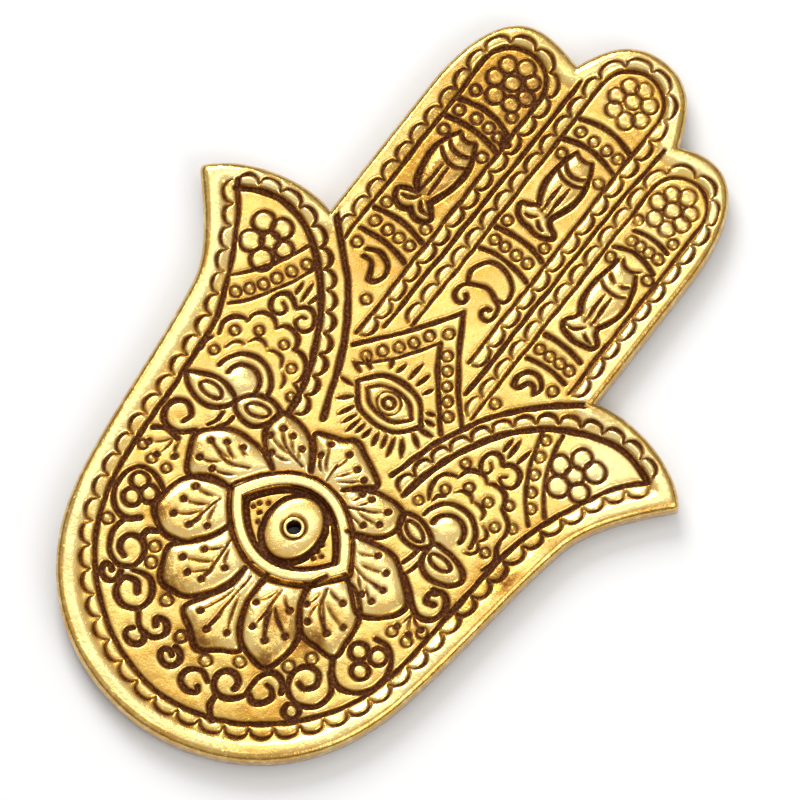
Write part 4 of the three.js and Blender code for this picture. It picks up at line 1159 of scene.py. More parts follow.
@dataclass(frozen=True)
class Grid:
    """A fine square grid over the hand. Paths are measured a few links at a time, to keep the work small."""

    pitch: float = 0.1
    low: Point = (-50.0, -2.0)
    columns: int = 1000
    rows: int = 1440
    links: int = 12
    last_cell: float = 1.001

    def blank(self, value: float = 0) -> Array:
        """A grid with one value all over."""
        return np.full((self.rows, self.columns), value, np.float32)

    def window(self, points: Array, margin: float) -> tuple[tuple[slice, slice], Array, Array]:
        """The part of the grid round points.

        Args:
            points: what it surrounds.
            margin: how far it reaches beyond them.

        Returns:
            Its place in the grid, and the x and y of its cells.
        """
        low = np.floor((points.min(0) - margin - self.low) / self.pitch).astype(int)
        high = np.ceil((points.max(0) + margin - self.low) / self.pitch).astype(int) + 1
        low = np.clip(low, 0, (self.columns, self.rows))
        high = np.clip(high, 0, (self.columns, self.rows))
        xs = self.low[0] + self.pitch * np.arange(low[0], high[0], dtype=np.float32)
        ys = self.low[1] + self.pitch * np.arange(low[1], high[1], dtype=np.float32)
        return (slice(low[1], high[1]), slice(low[0], high[0])), *np.meshgrid(xs, ys)

    def cells(self) -> tuple[Array, Array]:
        """The x and y of every cell."""
        corners = np.array([self.low, (self.low[0] + self.columns, self.low[1] + self.rows)])
        return self.window(corners, 0)[1:]

    def filled(self, outline: Array) -> Array:
        """Finds which cells lie inside an outline.

        Args:
            outline: points round it.

        Returns:
            True for each cell inside.
        """
        inside = np.zeros((self.rows, self.columns), bool)
        xs = self.low[0] + self.pitch * np.arange(self.columns)
        ahead = np.roll(outline, -1, 0)
        for number in range(self.rows):
            y = self.low[1] + self.pitch * number
            crossing = (outline[:, 1] <= y) != (ahead[:, 1] <= y)
            if crossing.any():
                a, b = outline[crossing], ahead[crossing]
                hits = a[:, 0] + (y - a[:, 1]) * (b[:, 0] - a[:, 0]) / (b[:, 1] - a[:, 1])
                inside[number] = np.searchsorted(np.sort(hits), xs) % 2 == 1
        return inside

    def gap(self, path: Array, reach: float) -> Array:
        """Measures the distance from each cell to a path.

        Args:
            path: points along it.
            reach: the distance beyond which it isn't measured.

        Returns:
            The distances, or the reach where they are longer.
        """
        found = self.blank(reach)
        for first in range(0, len(path) - 1, self.links):
            points = path[first:first + self.links + 1]
            place, xs, ys = self.window(points, reach)
            for start, end in zip(points, points[1:]):
                found[place] = np.minimum(found[place], link_gap(start, end, xs, ys)[0])
        return found

    def sample(self, values: Array, points: Array) -> Array:
        """Reads a grid between its cells.

        Args:
            values: the grid.
            points: where.

        Returns:
            The value at each point.
        """
        place = (points - np.asarray(self.low)) / self.pitch
        place = np.clip(place, 0, (self.columns - self.last_cell, self.rows - self.last_cell))
        cell = place.astype(int)
        x, y = (place - cell).T
        column, line = cell.T
        lower = values[line, column] * (1 - x) + values[line, column + 1] * x
        upper = values[line + 1, column] * (1 - x) + values[line + 1, column + 1] * x
        return lower * (1 - y) + upper * y

    def chance(self, spacing: float, seed: int) -> Array:
        """Draws smooth chance values from -1 to 1.

        Args:
            spacing: the distance over which they change.
            seed: where the draw starts.

        Returns:
            The grid of values.
        """
        ys = np.arange(self.rows) * self.pitch / spacing
        xs = np.arange(self.columns) * self.pitch / spacing
        lattice = np.random.default_rng(seed).uniform(-1, 1, (int(ys[-1]) + 2, int(xs[-1]) + 2))
        line, column = ys.astype(int), xs.astype(int)
        y, x = ease(ys - line, 0, 1)[:, None], ease(xs - column, 0, 1)
        lines = lattice[line] * (1 - y) + lattice[line + 1] * y
        return (lines[:, column] * (1 - x) + lines[:, column + 1] * x).astype(np.float32)

    def blurred(self, values: Array, width: float) -> Array:
        """Averages a grid over a square, twice.

        Args:
            values: the grid.
            width: the square's width.

        Returns:
            The new grid.
        """
        half = max(1, round(width / self.pitch / 2))
        for axis in (0, 1, 0, 1):
            margin = [(0, 0), (0, 0)]
            margin[axis] = (half + 1, half)
            total = np.cumsum(np.pad(values, margin, mode="edge"), axis, dtype=np.float64)
            size = values.shape[axis]
            upper = np.take(total, range(2 * half + 1, 2 * half + 1 + size), axis)
            lower = np.take(total, range(size), axis)
            values = ((upper - lower) / (2 * half + 1)).astype(np.float32)
        return values


def link_gap(start: Array, end: Array, xs: Array,
             ys: Array) -> tuple[Array, Array]:
    """Measures the distance from cells to one link of a path."""
    step = end - start
    t = ((xs - start[0]) * step[0] + (ys - start[1]) * step[1]) / max(step @ step, SHORTEST)
    t = np.clip(t, 0, 1)
    return np.hypot(xs - start[0] - t * step[0], ys - start[1] - t * step[1]), t


def ease(values: Array, low: float, high: float) -> Array:
    """A smooth step from 0 at low to 1 at high."""
    t = np.clip((values - low) / (high - low), 0, 1)
    return t * t * (3 - 2 * t)


@dataclass
class Relief:
    """The carved face on a grid: heights over the field, and what guides the finish."""

    grid: Grid
    height: Array
    cut: Array
    # Stain and painted shade over 0; paler metal under 0, mostly painted highlights
    stain: Array
    crown_width: float = 1.6
    crown_height: float = 0.3
    local_share: float = 0.6
    height_share: float = 0.55
    crown_drop: float = 0.1

    def crown(self) -> Array:
        """How far each place stands over its neighbours and over the field, from -1 to 1."""
        local = (self.height - self.grid.blurred(self.height, self.crown_width)) / self.crown_height
        return np.clip(self.local_share * local + self.height_share * self.height - self.crown_drop, -1, 1)


@dataclass(frozen=True)
class CarvedFace:
    """Works the ornament, the rim and the eye into one relief.

    Waves and wobble pair a spacing with a size. The corners are the two flat patches beside the iris.
    """

    outline: HandOutline
    eye: EyeShape
    ornaments: Sequence[Ornament]
    edge_round: float
    rim_height: float
    recess: float
    reach: float = 6
    rim_crest: float = 1.1
    rim_slope: float = 1.8
    # Share by which the rim is painted paler, a painted highlight
    rim_highlight: float = 0.65
    lid_height: float = 1.05
    lid_rise: float = 0.55
    lid_fall: float = 0.45
    lid_foot: float = 0.1
    lid_edge: float = 0.3
    lid_groove: float = 1.2
    corner_height: float = 0.5
    corner_off_iris: Point = (0.7, 1.1)
    corner_off_lid: Point = (0.6, 0.95)
    corner_edge: float = 0.3
    swell_blur: float = 0.45
    swell_margin: float = 0.2
    pillow: float = 0.08
    pillow_reach: float = 0.7
    line_margin: float = 0.8
    line_links: int = 10
    lip: float = 0.16
    wall: float = 0.3
    cut_edge: float = 0.3
    line_shade_reach: float = 0.7
    spot_reach: float = 2.5
    waves: Sequence[Point] = ((13, 0.12), (6, 0.06), (3, 0.03), (1.6, 0.014))
    wobble: Sequence[Point] = ((4.5, 0.12), (1.8, 0.07))
    unevenness: float = 0.22
    uneven_spacing: float = 2.2
    zero: Point = (0.25, -0.74)
    # Spots over 0: stain and painted shade (left finger, rim slope right of palm). Under 0: painted
    # highlights.
    stain_and_light_spots: Sequence[Spot] = (
        Spot((-10, 22), 3.5, 1), Spot((8, 28), 3, 1), Spot((-1, 17), 4, 1), Spot((13, 27), 3.5, 1),
        Spot((-18, 118), 14, 0.8), Spot((-18, 103), 11, 0.8), Spot((-16, 88), 7, 0.5),
        Spot((-12.5, 122), 4, 1.1), Spot((-24.5, 104), 5, 0.55), Spot((-22.5, 96), 4, 0.4),
        Spot((-31, 71), 2.5, 0.55), Spot((5, 125), 4, 0.5), Spot((3, 114), 9, 0.3), Spot((1, 76), 4, 0.35),
        Spot((-29, 74), 4, 0.5), Spot((-24, 80), 4, 0.5), Spot((30.3, 47), 4, 0.9),
        Spot((32.6, 55), 4.5, 1.05), Spot((33.4, 64.5), 4, 0.75), Spot((16, 12.5), 7, 0.5),
        Spot((6, 10), 5, 0.35), Spot((-6, 12.6), 4, 0.35), Spot((-11.4, 113.1), 0.9, 1.8),
        Spot((20.6, 54.5), 3, -0.6), Spot((17, 42), 4, -0.7), Spot((-21, 55.4), 5, -0.7),
        Spot((-37, 72), 5, -0.7), Spot((16, 116), 5, -0.5), Spot((-3, 129), 4, -0.5),
        Spot((34, 80), 7, -0.9), Spot((30, 74), 5, -0.6))
    blot: Sequence[Link] = (((-12.2, 113.6), (-10.8, 112.8)), ((-11.8, 112.4), (-11.2, 114)),
                            ((-11.6, 113), (-10.4, 113.2)))
    blot_half_width: float = 0.5

    def relief(self) -> Relief:
        """Carves everything.

        Returns:
            The carved face.
        """
        grid = Grid()
        carving = Carving()
        for ornament in self.ornaments:
            ornament.carve(carving)
        carving.spots.extend(self.stain_and_light_spots)
        for start, end in self.blot:
            carving.dash(start, end, self.blot_half_width)
        carving.move(self.zero)
        self.eye.carve(carving)
        cut, depth, near = self.engraved(grid, carving)
        rim = self.rim(grid)
        height = grid.blurred(self.raised(grid, carving), self.swell_blur) + rim
        height += self.rolling(grid) - depth - self.pillow * near**2
        height, cut = self.with_eye(grid, height, cut, depth)
        LOG.info("carved %d lines and %d raised patches", len(carving.strokes), len(carving.swells))
        return Relief(grid, height, cut, self.stain_and_light(grid, carving, rim / self.rim_height))

    def engraved(self, grid: Grid, carving: Carving) -> tuple[Array, Array, Array]:
        """Cuts the lines.

        Args:
            grid: where.
            carving: what.

        Returns:
            0 at the edge of a line, more inside it and less beyond; depth; and 1 at a line, 0 well away.
        """
        cut, depth, near = grid.blank(-1), grid.blank(), grid.blank()
        aside = [sum(size * grid.chance(spacing, seed + number)
                     for number, (spacing, size) in enumerate(self.wobble))
                 for seed in WANDER_SEEDS]
        uneven = 1 + self.unevenness * grid.chance(self.uneven_spacing, WIDTH_SEED)
        for stroke in carving.strokes:
            for first in range(0, len(stroke.points) - 1, self.line_links):
                points = stroke.points[first:first + self.line_links + 1]
                widths = stroke.half_widths[first:first + self.line_links + 1]
                place, xs, ys = grid.window(points, self.pillow_reach + self.line_margin)
                xs, ys = xs + aside[0][place], ys + aside[1][place]
                inside = np.full(xs.shape, WELL_OUTSIDE, np.float32)
                loose = uneven[place] if len(stroke.points) > 2 else 1
                for start, end, first_half, last_half in zip(points, points[1:], widths, widths[1:]):
                    gap, t = link_gap(start, end, xs, ys)
                    half = (first_half + (last_half - first_half) * t) * loose
                    inside = np.maximum(inside, half - gap)
                guide_value = inside / np.where(inside > 0, self.cut_edge, self.line_shade_reach)
                cut[place] = np.maximum(cut[place], guide_value)
                depth[place] = np.maximum(depth[place], ease(inside, -self.lip, self.wall) * stroke.depth)
                near[place] = np.maximum(near[place], np.clip(1 + inside / self.pillow_reach, 0, 1))
        return cut, depth, near

    def raised(self, grid: Grid, carving: Carving) -> Array:
        """Raises the patches.

        Args:
            grid: where.
            carving: what.

        Returns:
            Their heights.
        """
        rise = grid.blank()
        for swell in carving.swells:
            loop = np.vstack([swell.outline, swell.outline[:1]])
            place, xs, ys = grid.window(loop, self.swell_margin)
            inside = np.zeros(xs.shape, bool)
            gap = np.full(xs.shape, swell.shoulder, np.float32)
            for start, end in zip(loop, loop[1:]):
                gap = np.minimum(gap, link_gap(start, end, xs, ys)[0])
                if start[1] != end[1]:
                    lean = (end[0] - start[0]) / (end[1] - start[1])
                    crossing = (ys < start[1]) != (ys < end[1])
                    inside ^= crossing & (xs < start[0] + (ys - start[1]) * lean)
            share = np.where(inside, gap / swell.shoulder, 0)
            rise[place] = np.maximum(rise[place], swell.height * np.sin(share * math.pi / 2))
        return rise

    def rim(self, grid: Grid) -> Array:
        """Raises the rim: level along the edge, then a slope down to the field."""
        edge = self.outline.ring(0)
        away = grid.gap(np.vstack([edge, edge[:1]]), self.reach)
        slope = self.edge_round + self.rim_crest
        return self.rim_height * (1 - ease(away, slope, slope + self.rim_slope))

    def rolling(self, grid: Grid) -> Array:
        """Low unevenness left by casting and rubbing."""
        return sum(size * grid.chance(spacing, ROLLING_SEED + number)
                   for number, (spacing, size) in enumerate(self.waves))

    def stain_and_light(self, grid: Grid, carving: Carving, rim: Array) -> Array:
        """Finds where brown stain and painted shade lie, and where the metal is painted paler as a
        highlight.

        Args:
            grid: where.
            carving: what has been carved.
            rim: 1 on the rim and 0 on the field.

        Returns:
            More than 0 for stain and painted shade, less than 0 for paler metal, mostly painted highlights.
        """
        stain_and_shade, brightened = grid.blank(), -self.rim_highlight * rim
        for spot in carving.spots:
            place, xs, ys = grid.window(np.array([spot.centre]), self.spot_reach * spot.radius)
            away = np.hypot(xs - spot.centre[0], ys - spot.centre[1]) / spot.radius
            share = spot.strength * np.exp(-away**2)
            stain_and_shade[place] = np.maximum(stain_and_shade[place], share)
            brightened[place] = np.minimum(brightened[place], share)
        bare = ~grid.filled(self.eye.almond()) * (1 - np.clip(stain_and_shade, 0, 1))
        return stain_and_shade + brightened * bare

    def with_eye(self, grid: Grid, height: Array, cut: Array,
                 depth: Array) -> tuple[Array, Array]:
        """Puts the lid and the recess of the big eye into the relief.

        Args:
            grid: where.
            height: heights so far.
            cut: the guide for the dark lines so far.
            depth: depth of the cuts.

        Returns:
            The new heights and the new guide.
        """
        eye = self.eye
        almond = eye.almond()
        inside = grid.filled(almond)
        inner = np.where(inside, grid.gap(np.vstack([almond, almond[:1]]), self.reach), 0)
        up = ease(inner, 0, self.lid_rise)
        down = ease(inner, eye.lid_width - self.lid_fall, eye.lid_width + self.lid_foot)
        xs, ys = grid.cells()
        oval = np.hypot((xs - eye.iris_centre[0]) / eye.iris_half_width,
                        (ys - eye.iris_centre[1]) / eye.iris_half_height)
        off_iris = ease((oval - 1) * eye.iris_half_width, *self.corner_off_iris)
        off_lid = ease(inner, *(eye.lid_width + distance for distance in self.corner_off_lid))
        corner = off_iris * off_lid
        lid = self.lid_height * up * (1 - down) - self.recess * down + self.corner_height * corner - depth
        shade = np.clip(down * 2 - 1, -1, 1) * (1 - corner) - corner
        shaded = np.maximum(np.where(corner > self.corner_edge, cut, -1), shade)
        on_lid = inner > self.lid_edge
        groove = cut * (inner < self.lid_groove) - (inner >= self.lid_groove)
        new_cut = np.maximum(np.where(on_lid, shaded, cut), np.where(on_lid, groove, -1))
        return np.where(inside, lid, height), new_cut


# Meshes

@dataclass
class Skin:
    """Gathers the corners, faces and bake map of one mesh, in millimetres from the wrist edge."""

    corners: list[Array] = field(default_factory=list)
    faces: list[Array] = field(default_factory=list)
    maps: list[Array] = field(default_factory=list)

    def add(self, flat: Array, height: float | Array) -> Array:
        """Adds corners."""
        first = sum(len(block) for block in self.corners)
        self.corners.append(np.column_stack([flat, np.broadcast_to(height, len(flat))]))
        return np.arange(first, first + len(flat))

    def face(self, faces: Array, bake_map: Array) -> None:
        """Adds faces with equal counts of corners, and their place on the bake map."""
        self.faces.append(faces)
        self.maps.append(bake_map)

    def loft(self, lower: Array, upper: Array, box: Box, strips: int = 1) -> None:
        """Joins two closed rings with four-sided faces.

        Args:
            lower: corners of one ring.
            upper: corners of the next.
            box: where the faces lie on the bake map.
            strips: how many strips they are laid out in, one over the other.
        """
        count = len(lower)
        ahead_lower, ahead_upper = np.roll(lower, -1), np.roll(upper, -1)
        place = np.arange(count) * strips / count
        left, bottom, right, top = box
        strip = np.floor(place)
        tall = (top - bottom) / strips
        u0 = left + (right - left) * (place - strip)
        u1 = u0 + (right - left) * strips / count
        v0 = bottom + tall * strip
        v1 = v0 + tall * MAP_FILL
        bake = np.stack([np.stack(pair, 1) for pair in ((u0, v0), (u1, v0), (u1, v1), (u0, v1))], 1)
        self.face(np.stack([lower, ahead_lower, ahead_upper, upper], 1), bake)

    def mesh(self, name: str) -> bpy.types.Mesh:
        """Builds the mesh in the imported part's frame, in metres.

        Args:
            name: its name.

        Returns:
            The mesh.
        """
        corners = np.vstack(self.corners)
        corners[:, 1] -= HandOutline.middle_tip / 2
        mesh = bpy.data.meshes.new(name)
        faces = [face for block in self.faces for face in block.tolist()]
        mesh.from_pydata((corners * MM).tolist(), [], faces)
        bake = mesh.uv_layers.new(name=BAKE_MAP)
        places = np.concatenate([block.ravel() for block in self.maps])
        bake.data.foreach_set("uv", places.astype(np.float32))
        mesh.shade_smooth()
        return mesh


def guide(mesh: bpy.types.Mesh, name: str, values: Array) -> None:
    """Stores a value for each corner of a mesh, for its finish to read."""
    layer = mesh.attributes.new(name, "FLOAT", "POINT")
    layer.data.foreach_set("value", np.ascontiguousarray(values, np.float32))


def circle(centre: Point, radius: float, count: int = 96) -> Array:
    """Corners round a circle, anticlockwise."""
    angles = np.linspace(0, 2 * math.pi, count, endpoint=False)
    return np.stack([centre[0] + radius * np.cos(angles), centre[1] + radius * np.sin(angles)], 1)


def honeycomb(step: float) -> Array:
    """Lays a grid of triangles over the hand.

    Args:
        step: the side of a triangle.

    Returns:
        Its points.
    """
    ys = np.arange(HAND_LOW[1], HAND_HIGH[1], step * math.sqrt(3) / 2)
    xs = np.arange(HAND_LOW[0], HAND_HIGH[0], step)
    grid_x, grid_y = np.meshgrid(xs, ys)
    grid_x[1::2] += step / 2
    return np.column_stack([grid_x.ravel(), grid_y.ravel()])


def triangulated(edge: Array, hole: Array, inner: Array) -> Array:
    """Fills an edge with triangles.

    Args:
        edge: the closed edge, anticlockwise.
        hole: a closed ring that stays open.
        inner: points between them.

    Returns:
        Faces, by corners counted through the edge, the hole and the inner points.
    """
    points = np.vstack([edge, hole, inner])
    sides = []
    for first, count in ((0, len(edge)), (len(edge), len(hole))):
        ring = np.arange(first, first + count)
        sides.extend(zip(ring.tolist(), np.roll(ring, -1).tolist()))
    result = delaunay_2d_cdt([Vector(point) for point in points.tolist()], sides, [], 1, TOUCHING)
    if len(result[0]) != len(points):
        raise ValueError("points of a face fall together")
    faces = np.array([face for face in result[2] if len(face) == 3])
    middles = points[faces].mean(1)
    centre = hole.mean(0)
    radius = np.hypot(*(hole - centre).T).max()
    return faces[np.hypot(*(middles - centre).T) > radius * HOLE_SHARE]


def placed(name: str, data: bpy.types.ID) -> bpy.types.Object:
    """Puts a new object into the scene."""
    thing = bpy.data.objects.new(name, data)
    bpy.context.scene.collection.objects.link(thing)
    return thing


# Finishes

class NodeTree:
    """Places and joins shader nodes."""

    def __init__(self, tree: bpy.types.ShaderNodeTree) -> None:
        """Starts with a tree."""
        self.tree = tree

    def node(self, kind: str, settings: dict[str, object] | None = None, **inputs: object) -> bpy.types.Node:
        """Adds a node.

        Args:
            kind: the node's type, without its leading word.
            settings: its own properties.
            **inputs: values or sockets for its inputs, with underscores for spaces.

        Returns:
            The node.
        """
        node = self.tree.nodes.new("ShaderNode" + kind)
        for name, value in (settings or {}).items():
            setattr(node, name, value)
        for name, value in inputs.items():
            self.put(node.inputs[name.replace("_", " ")], value)
        return node

    def put(self, socket: bpy.types.NodeSocket, value: object) -> None:
        """Fills a socket."""
        if isinstance(value, bpy.types.NodeSocket):
            self.tree.links.new(value, socket)
        else:
            socket.default_value = value

    def math(self, operation: str, *values: object) -> bpy.types.NodeSocket:
        """Works out one sum."""
        node = self.node("Math", {"operation": operation})
        for socket, value in zip(node.inputs, values):
            self.put(socket, value)
        return node.outputs[0]

    def span(self, value: object, edge: Point, ends: Point = (0, 1)) -> bpy.types.NodeSocket:
        """Makes a smooth step."""
        node = self.node("MapRange", {"interpolation_type": "SMOOTHSTEP"}, Value=value, From_Min=edge[0],
                         From_Max=edge[1], To_Min=ends[0], To_Max=ends[1])
        return node.outputs["Result"]

    def mix(self, share: object, first: object, second: object) -> bpy.types.NodeSocket:
        """Lays one colour over another."""
        node = self.node("Mix", {"data_type": "RGBA"}, Factor=share)
        self.put(node.inputs[6], first)
        self.put(node.inputs[7], second)
        return node.outputs[2]

    def noise(self, scale: float, detail: float = 3, roughness: float = 0.55) -> bpy.types.NodeSocket:
        """Cloudy noise in the piece's own frame, with a scale per metre."""
        place = self.node("TexCoord").outputs["Object"]
        node = self.node("TexNoise", Vector=place, Scale=scale, Detail=detail, Roughness=roughness)
        return node.outputs["Fac"]


class SocketKind(Enum):
    """Kinds of sockets on a group of nodes."""

    VALUE = "NodeSocketFloat"
    COLOUR = "NodeSocketColor"


def new_group(name: str, inputs: dict[str, SocketKind],
              outputs: dict[str, SocketKind]) -> tuple[NodeTree, bpy.types.Node, bpy.types.Node]:
    """Starts a group of shader nodes.

    Args:
        name: its name.
        inputs: its inputs.
        outputs: its outputs.

    Returns:
        Its tree, the node that gives its inputs and the node that takes its outputs.
    """
    tree = bpy.data.node_groups.new(name, "ShaderNodeTree")
    for direction, sockets in (("INPUT", inputs), ("OUTPUT", outputs)):
        for label, kind in sockets.items():
            tree.interface.new_socket(label, in_out=direction, socket_type=kind.value)
    return NodeTree(tree), tree.nodes.new("NodeGroupInput"), tree.nodes.new("NodeGroupOutput")


def new_material(name: str) -> tuple[bpy.types.Material, NodeTree, bpy.types.Node]:
    """Starts a material."""
    material = bpy.data.materials.new(name)
    material.use_nodes = True
    return material, NodeTree(material.node_tree), material.node_tree.nodes["Principled BSDF"]


def solid(colour: Colour) -> tuple[float, ...]:
    """A colour as its socket takes it."""
    return (*colour, 1)


@dataclass(frozen=True)
class CastGrain:
    """Grain, pits and clouds of cast and rubbed metal, for every gold finish. Scales are per metre."""

    name: str = "cast_grain"
    fine_scale: float = 3600
    fine_share: float = 0.25
    middle_scale: float = 1100
    middle_share: float = 0.75
    cloud_scale: float = 120
    cloud_detail: float = 5
    cloud_roughness: float = 0.62
    pit_scale: float = 2100
    pit_edge: Point = (0.62, 0.76)
    pit_depth: float = 0.35

    def group(self) -> bpy.types.ShaderNodeTree:
        """Builds the group, or finds it where it has been built.

        Returns:
            The group, which puts out the grain's height, the clouds and the pits.
        """
        if self.name in bpy.data.node_groups:
            return bpy.data.node_groups[self.name]
        labels = ("Height", "Cloud", "Fleck")
        nodes, _, end = new_group(self.name, {}, {label: SocketKind.VALUE for label in labels})
        fine = nodes.math("MULTIPLY", nodes.noise(self.fine_scale, 2), self.fine_share)
        middle = nodes.math("MULTIPLY", nodes.noise(self.middle_scale), self.middle_share)
        pits = nodes.span(nodes.noise(self.pit_scale, 2), self.pit_edge)
        height = nodes.math("ADD", fine, middle)
        sunk = nodes.math("SUBTRACT", height, nodes.math("MULTIPLY", pits, self.pit_depth))
        cloud = nodes.noise(self.cloud_scale, self.cloud_detail, self.cloud_roughness)
        for label, value in zip(labels, (sunk, cloud, pits)):
            nodes.put(end.inputs[label], value)
        return nodes.tree


@dataclass(frozen=True)
class CutPatina:
    """Dark patina in the cuts with an amber edge that is partly painted shade, deeper gold beside the cuts
    as painted shade, stain and painted shade where they gather, and paler metal as painted highlights, for
    every gold finish.

    An edge is where a mask steps from none to all, and the plain numbers are how strong each mask is.
    """

    name: str = "cut_patina"
    ragged_scale: float = 1000
    ragged_width: float = 0.8
    stain_spread: float = 0.45
    speck_scale: float = 1700
    speck_edge: Point = (0.56, 0.7)
    soot_ragged: float = 1.3
    soot_edge: Point = (0.8, 1.25)
    smudge: float = 0.75
    dark_edge: Point = (-0.1, 0.35)
    halo_edge: Point = (-0.3, 0.1)
    halo: float = 0.6
    line_shade_edge: Point = (-1, 0)
    line_shade: float = 0.6
    cloud_scale: float = 700
    cloud_edge: Point = (0.3, 0.55)
    cloud: float = 0.9
    paling_edge: Point = (0, -1)
    paling: float = 0.75
    scuff_scale: float = 2400
    scuff_edge: Point = (0.45, 0.7)
    scuff: float = 0.6
    tarnish_edge: Point = (0, 0.6)

    def group(self) -> bpy.types.ShaderNodeTree:
        """Builds the group, or finds it where it has been built.

        Returns:
            The group, which puts out the metal's colour, where it is dark and where it has no gloss.
        """
        if self.name in bpy.data.node_groups:
            return bpy.data.node_groups[self.name]
        inputs = {label: SocketKind.COLOUR for label in ("Gold", "Deep", "Pale", "Amber", "Patina")}
        outputs = {"Color": SocketKind.COLOUR, "Dark": SocketKind.VALUE, "Tarnish": SocketKind.VALUE}
        nodes, start, end = new_group(self.name, inputs, outputs)
        cut = nodes.node("Attribute", {"attribute_name": CUT_GUIDE}).outputs["Fac"]
        stain = nodes.node("Attribute", {"attribute_name": STAIN_AND_LIGHT_GUIDE}).outputs["Fac"]
        stain_and_shade = nodes.math("MAXIMUM", stain, 0)

        # Masks
        wander = nodes.noise(self.ragged_scale, 4, 0.65)
        ragged = nodes.math("MULTIPLY_ADD", wander, self.ragged_width, -self.ragged_width / 2)
        edge = nodes.math("ADD", cut, ragged)
        stain_and_light = nodes.math("MULTIPLY_ADD", stain_and_shade, self.stain_spread, edge)
        peppered = nodes.span(nodes.noise(self.speck_scale, 4, 0.7), self.speck_edge)
        specks = nodes.math("MULTIPLY", peppered, stain_and_shade)
        soot = nodes.span(nodes.math("MULTIPLY_ADD", ragged, self.soot_ragged, stain_and_shade), self.soot_edge)
        smudged = nodes.math("MULTIPLY", nodes.math("MAXIMUM", specks, soot), self.smudge)
        dark = nodes.math("MAXIMUM", nodes.span(stain_and_light, self.dark_edge), smudged)
        # The amber edge of the cuts is partly patina and partly painted shade
        halo = nodes.math("MULTIPLY", nodes.span(stain_and_light, self.halo_edge), self.halo)
        # Painted shade: deeper gold in a band beside the cuts
        line_shade = nodes.math("MULTIPLY", nodes.span(stain_and_light, self.line_shade_edge), self.line_shade)
        clouded = nodes.span(nodes.noise(self.cloud_scale, 4, 0.7), self.cloud_edge)
        cloud = nodes.math("MULTIPLY", nodes.math("MULTIPLY", clouded, stain_and_shade), self.cloud)
        amber = nodes.math("MAXIMUM", halo, cloud)
        # Painted highlight: paler metal where the stain guide is below 0
        brightened = nodes.math("MULTIPLY", nodes.span(stain, self.paling_edge), self.paling)
        scraped = nodes.span(nodes.noise(self.scuff_scale, 3, 0.6), self.scuff_edge)
        scuffed = nodes.math("MULTIPLY", scraped, self.scuff)

        # Colours
        line_shaded = nodes.mix(line_shade, start.outputs["Gold"], start.outputs["Deep"])
        paled = nodes.mix(brightened, line_shaded, start.outputs["Pale"])
        warm = nodes.mix(amber, paled, start.outputs["Amber"])
        crust = nodes.mix(scuffed, start.outputs["Patina"], start.outputs["Amber"])
        nodes.put(end.inputs["Color"], nodes.mix(dark, warm, crust))
        nodes.put(end.inputs["Dark"], dark)
        tarnish = nodes.math("MAXIMUM", nodes.span(dark, self.tarnish_edge), amber)
        nodes.put(end.inputs["Tarnish"], tarnish)
        return nodes.tree


class Finish(Protocol):
    """A finish that can be built."""

    def material(self) -> bpy.types.Material:
        """Builds the finish.

        Returns:
            Its material.
        """


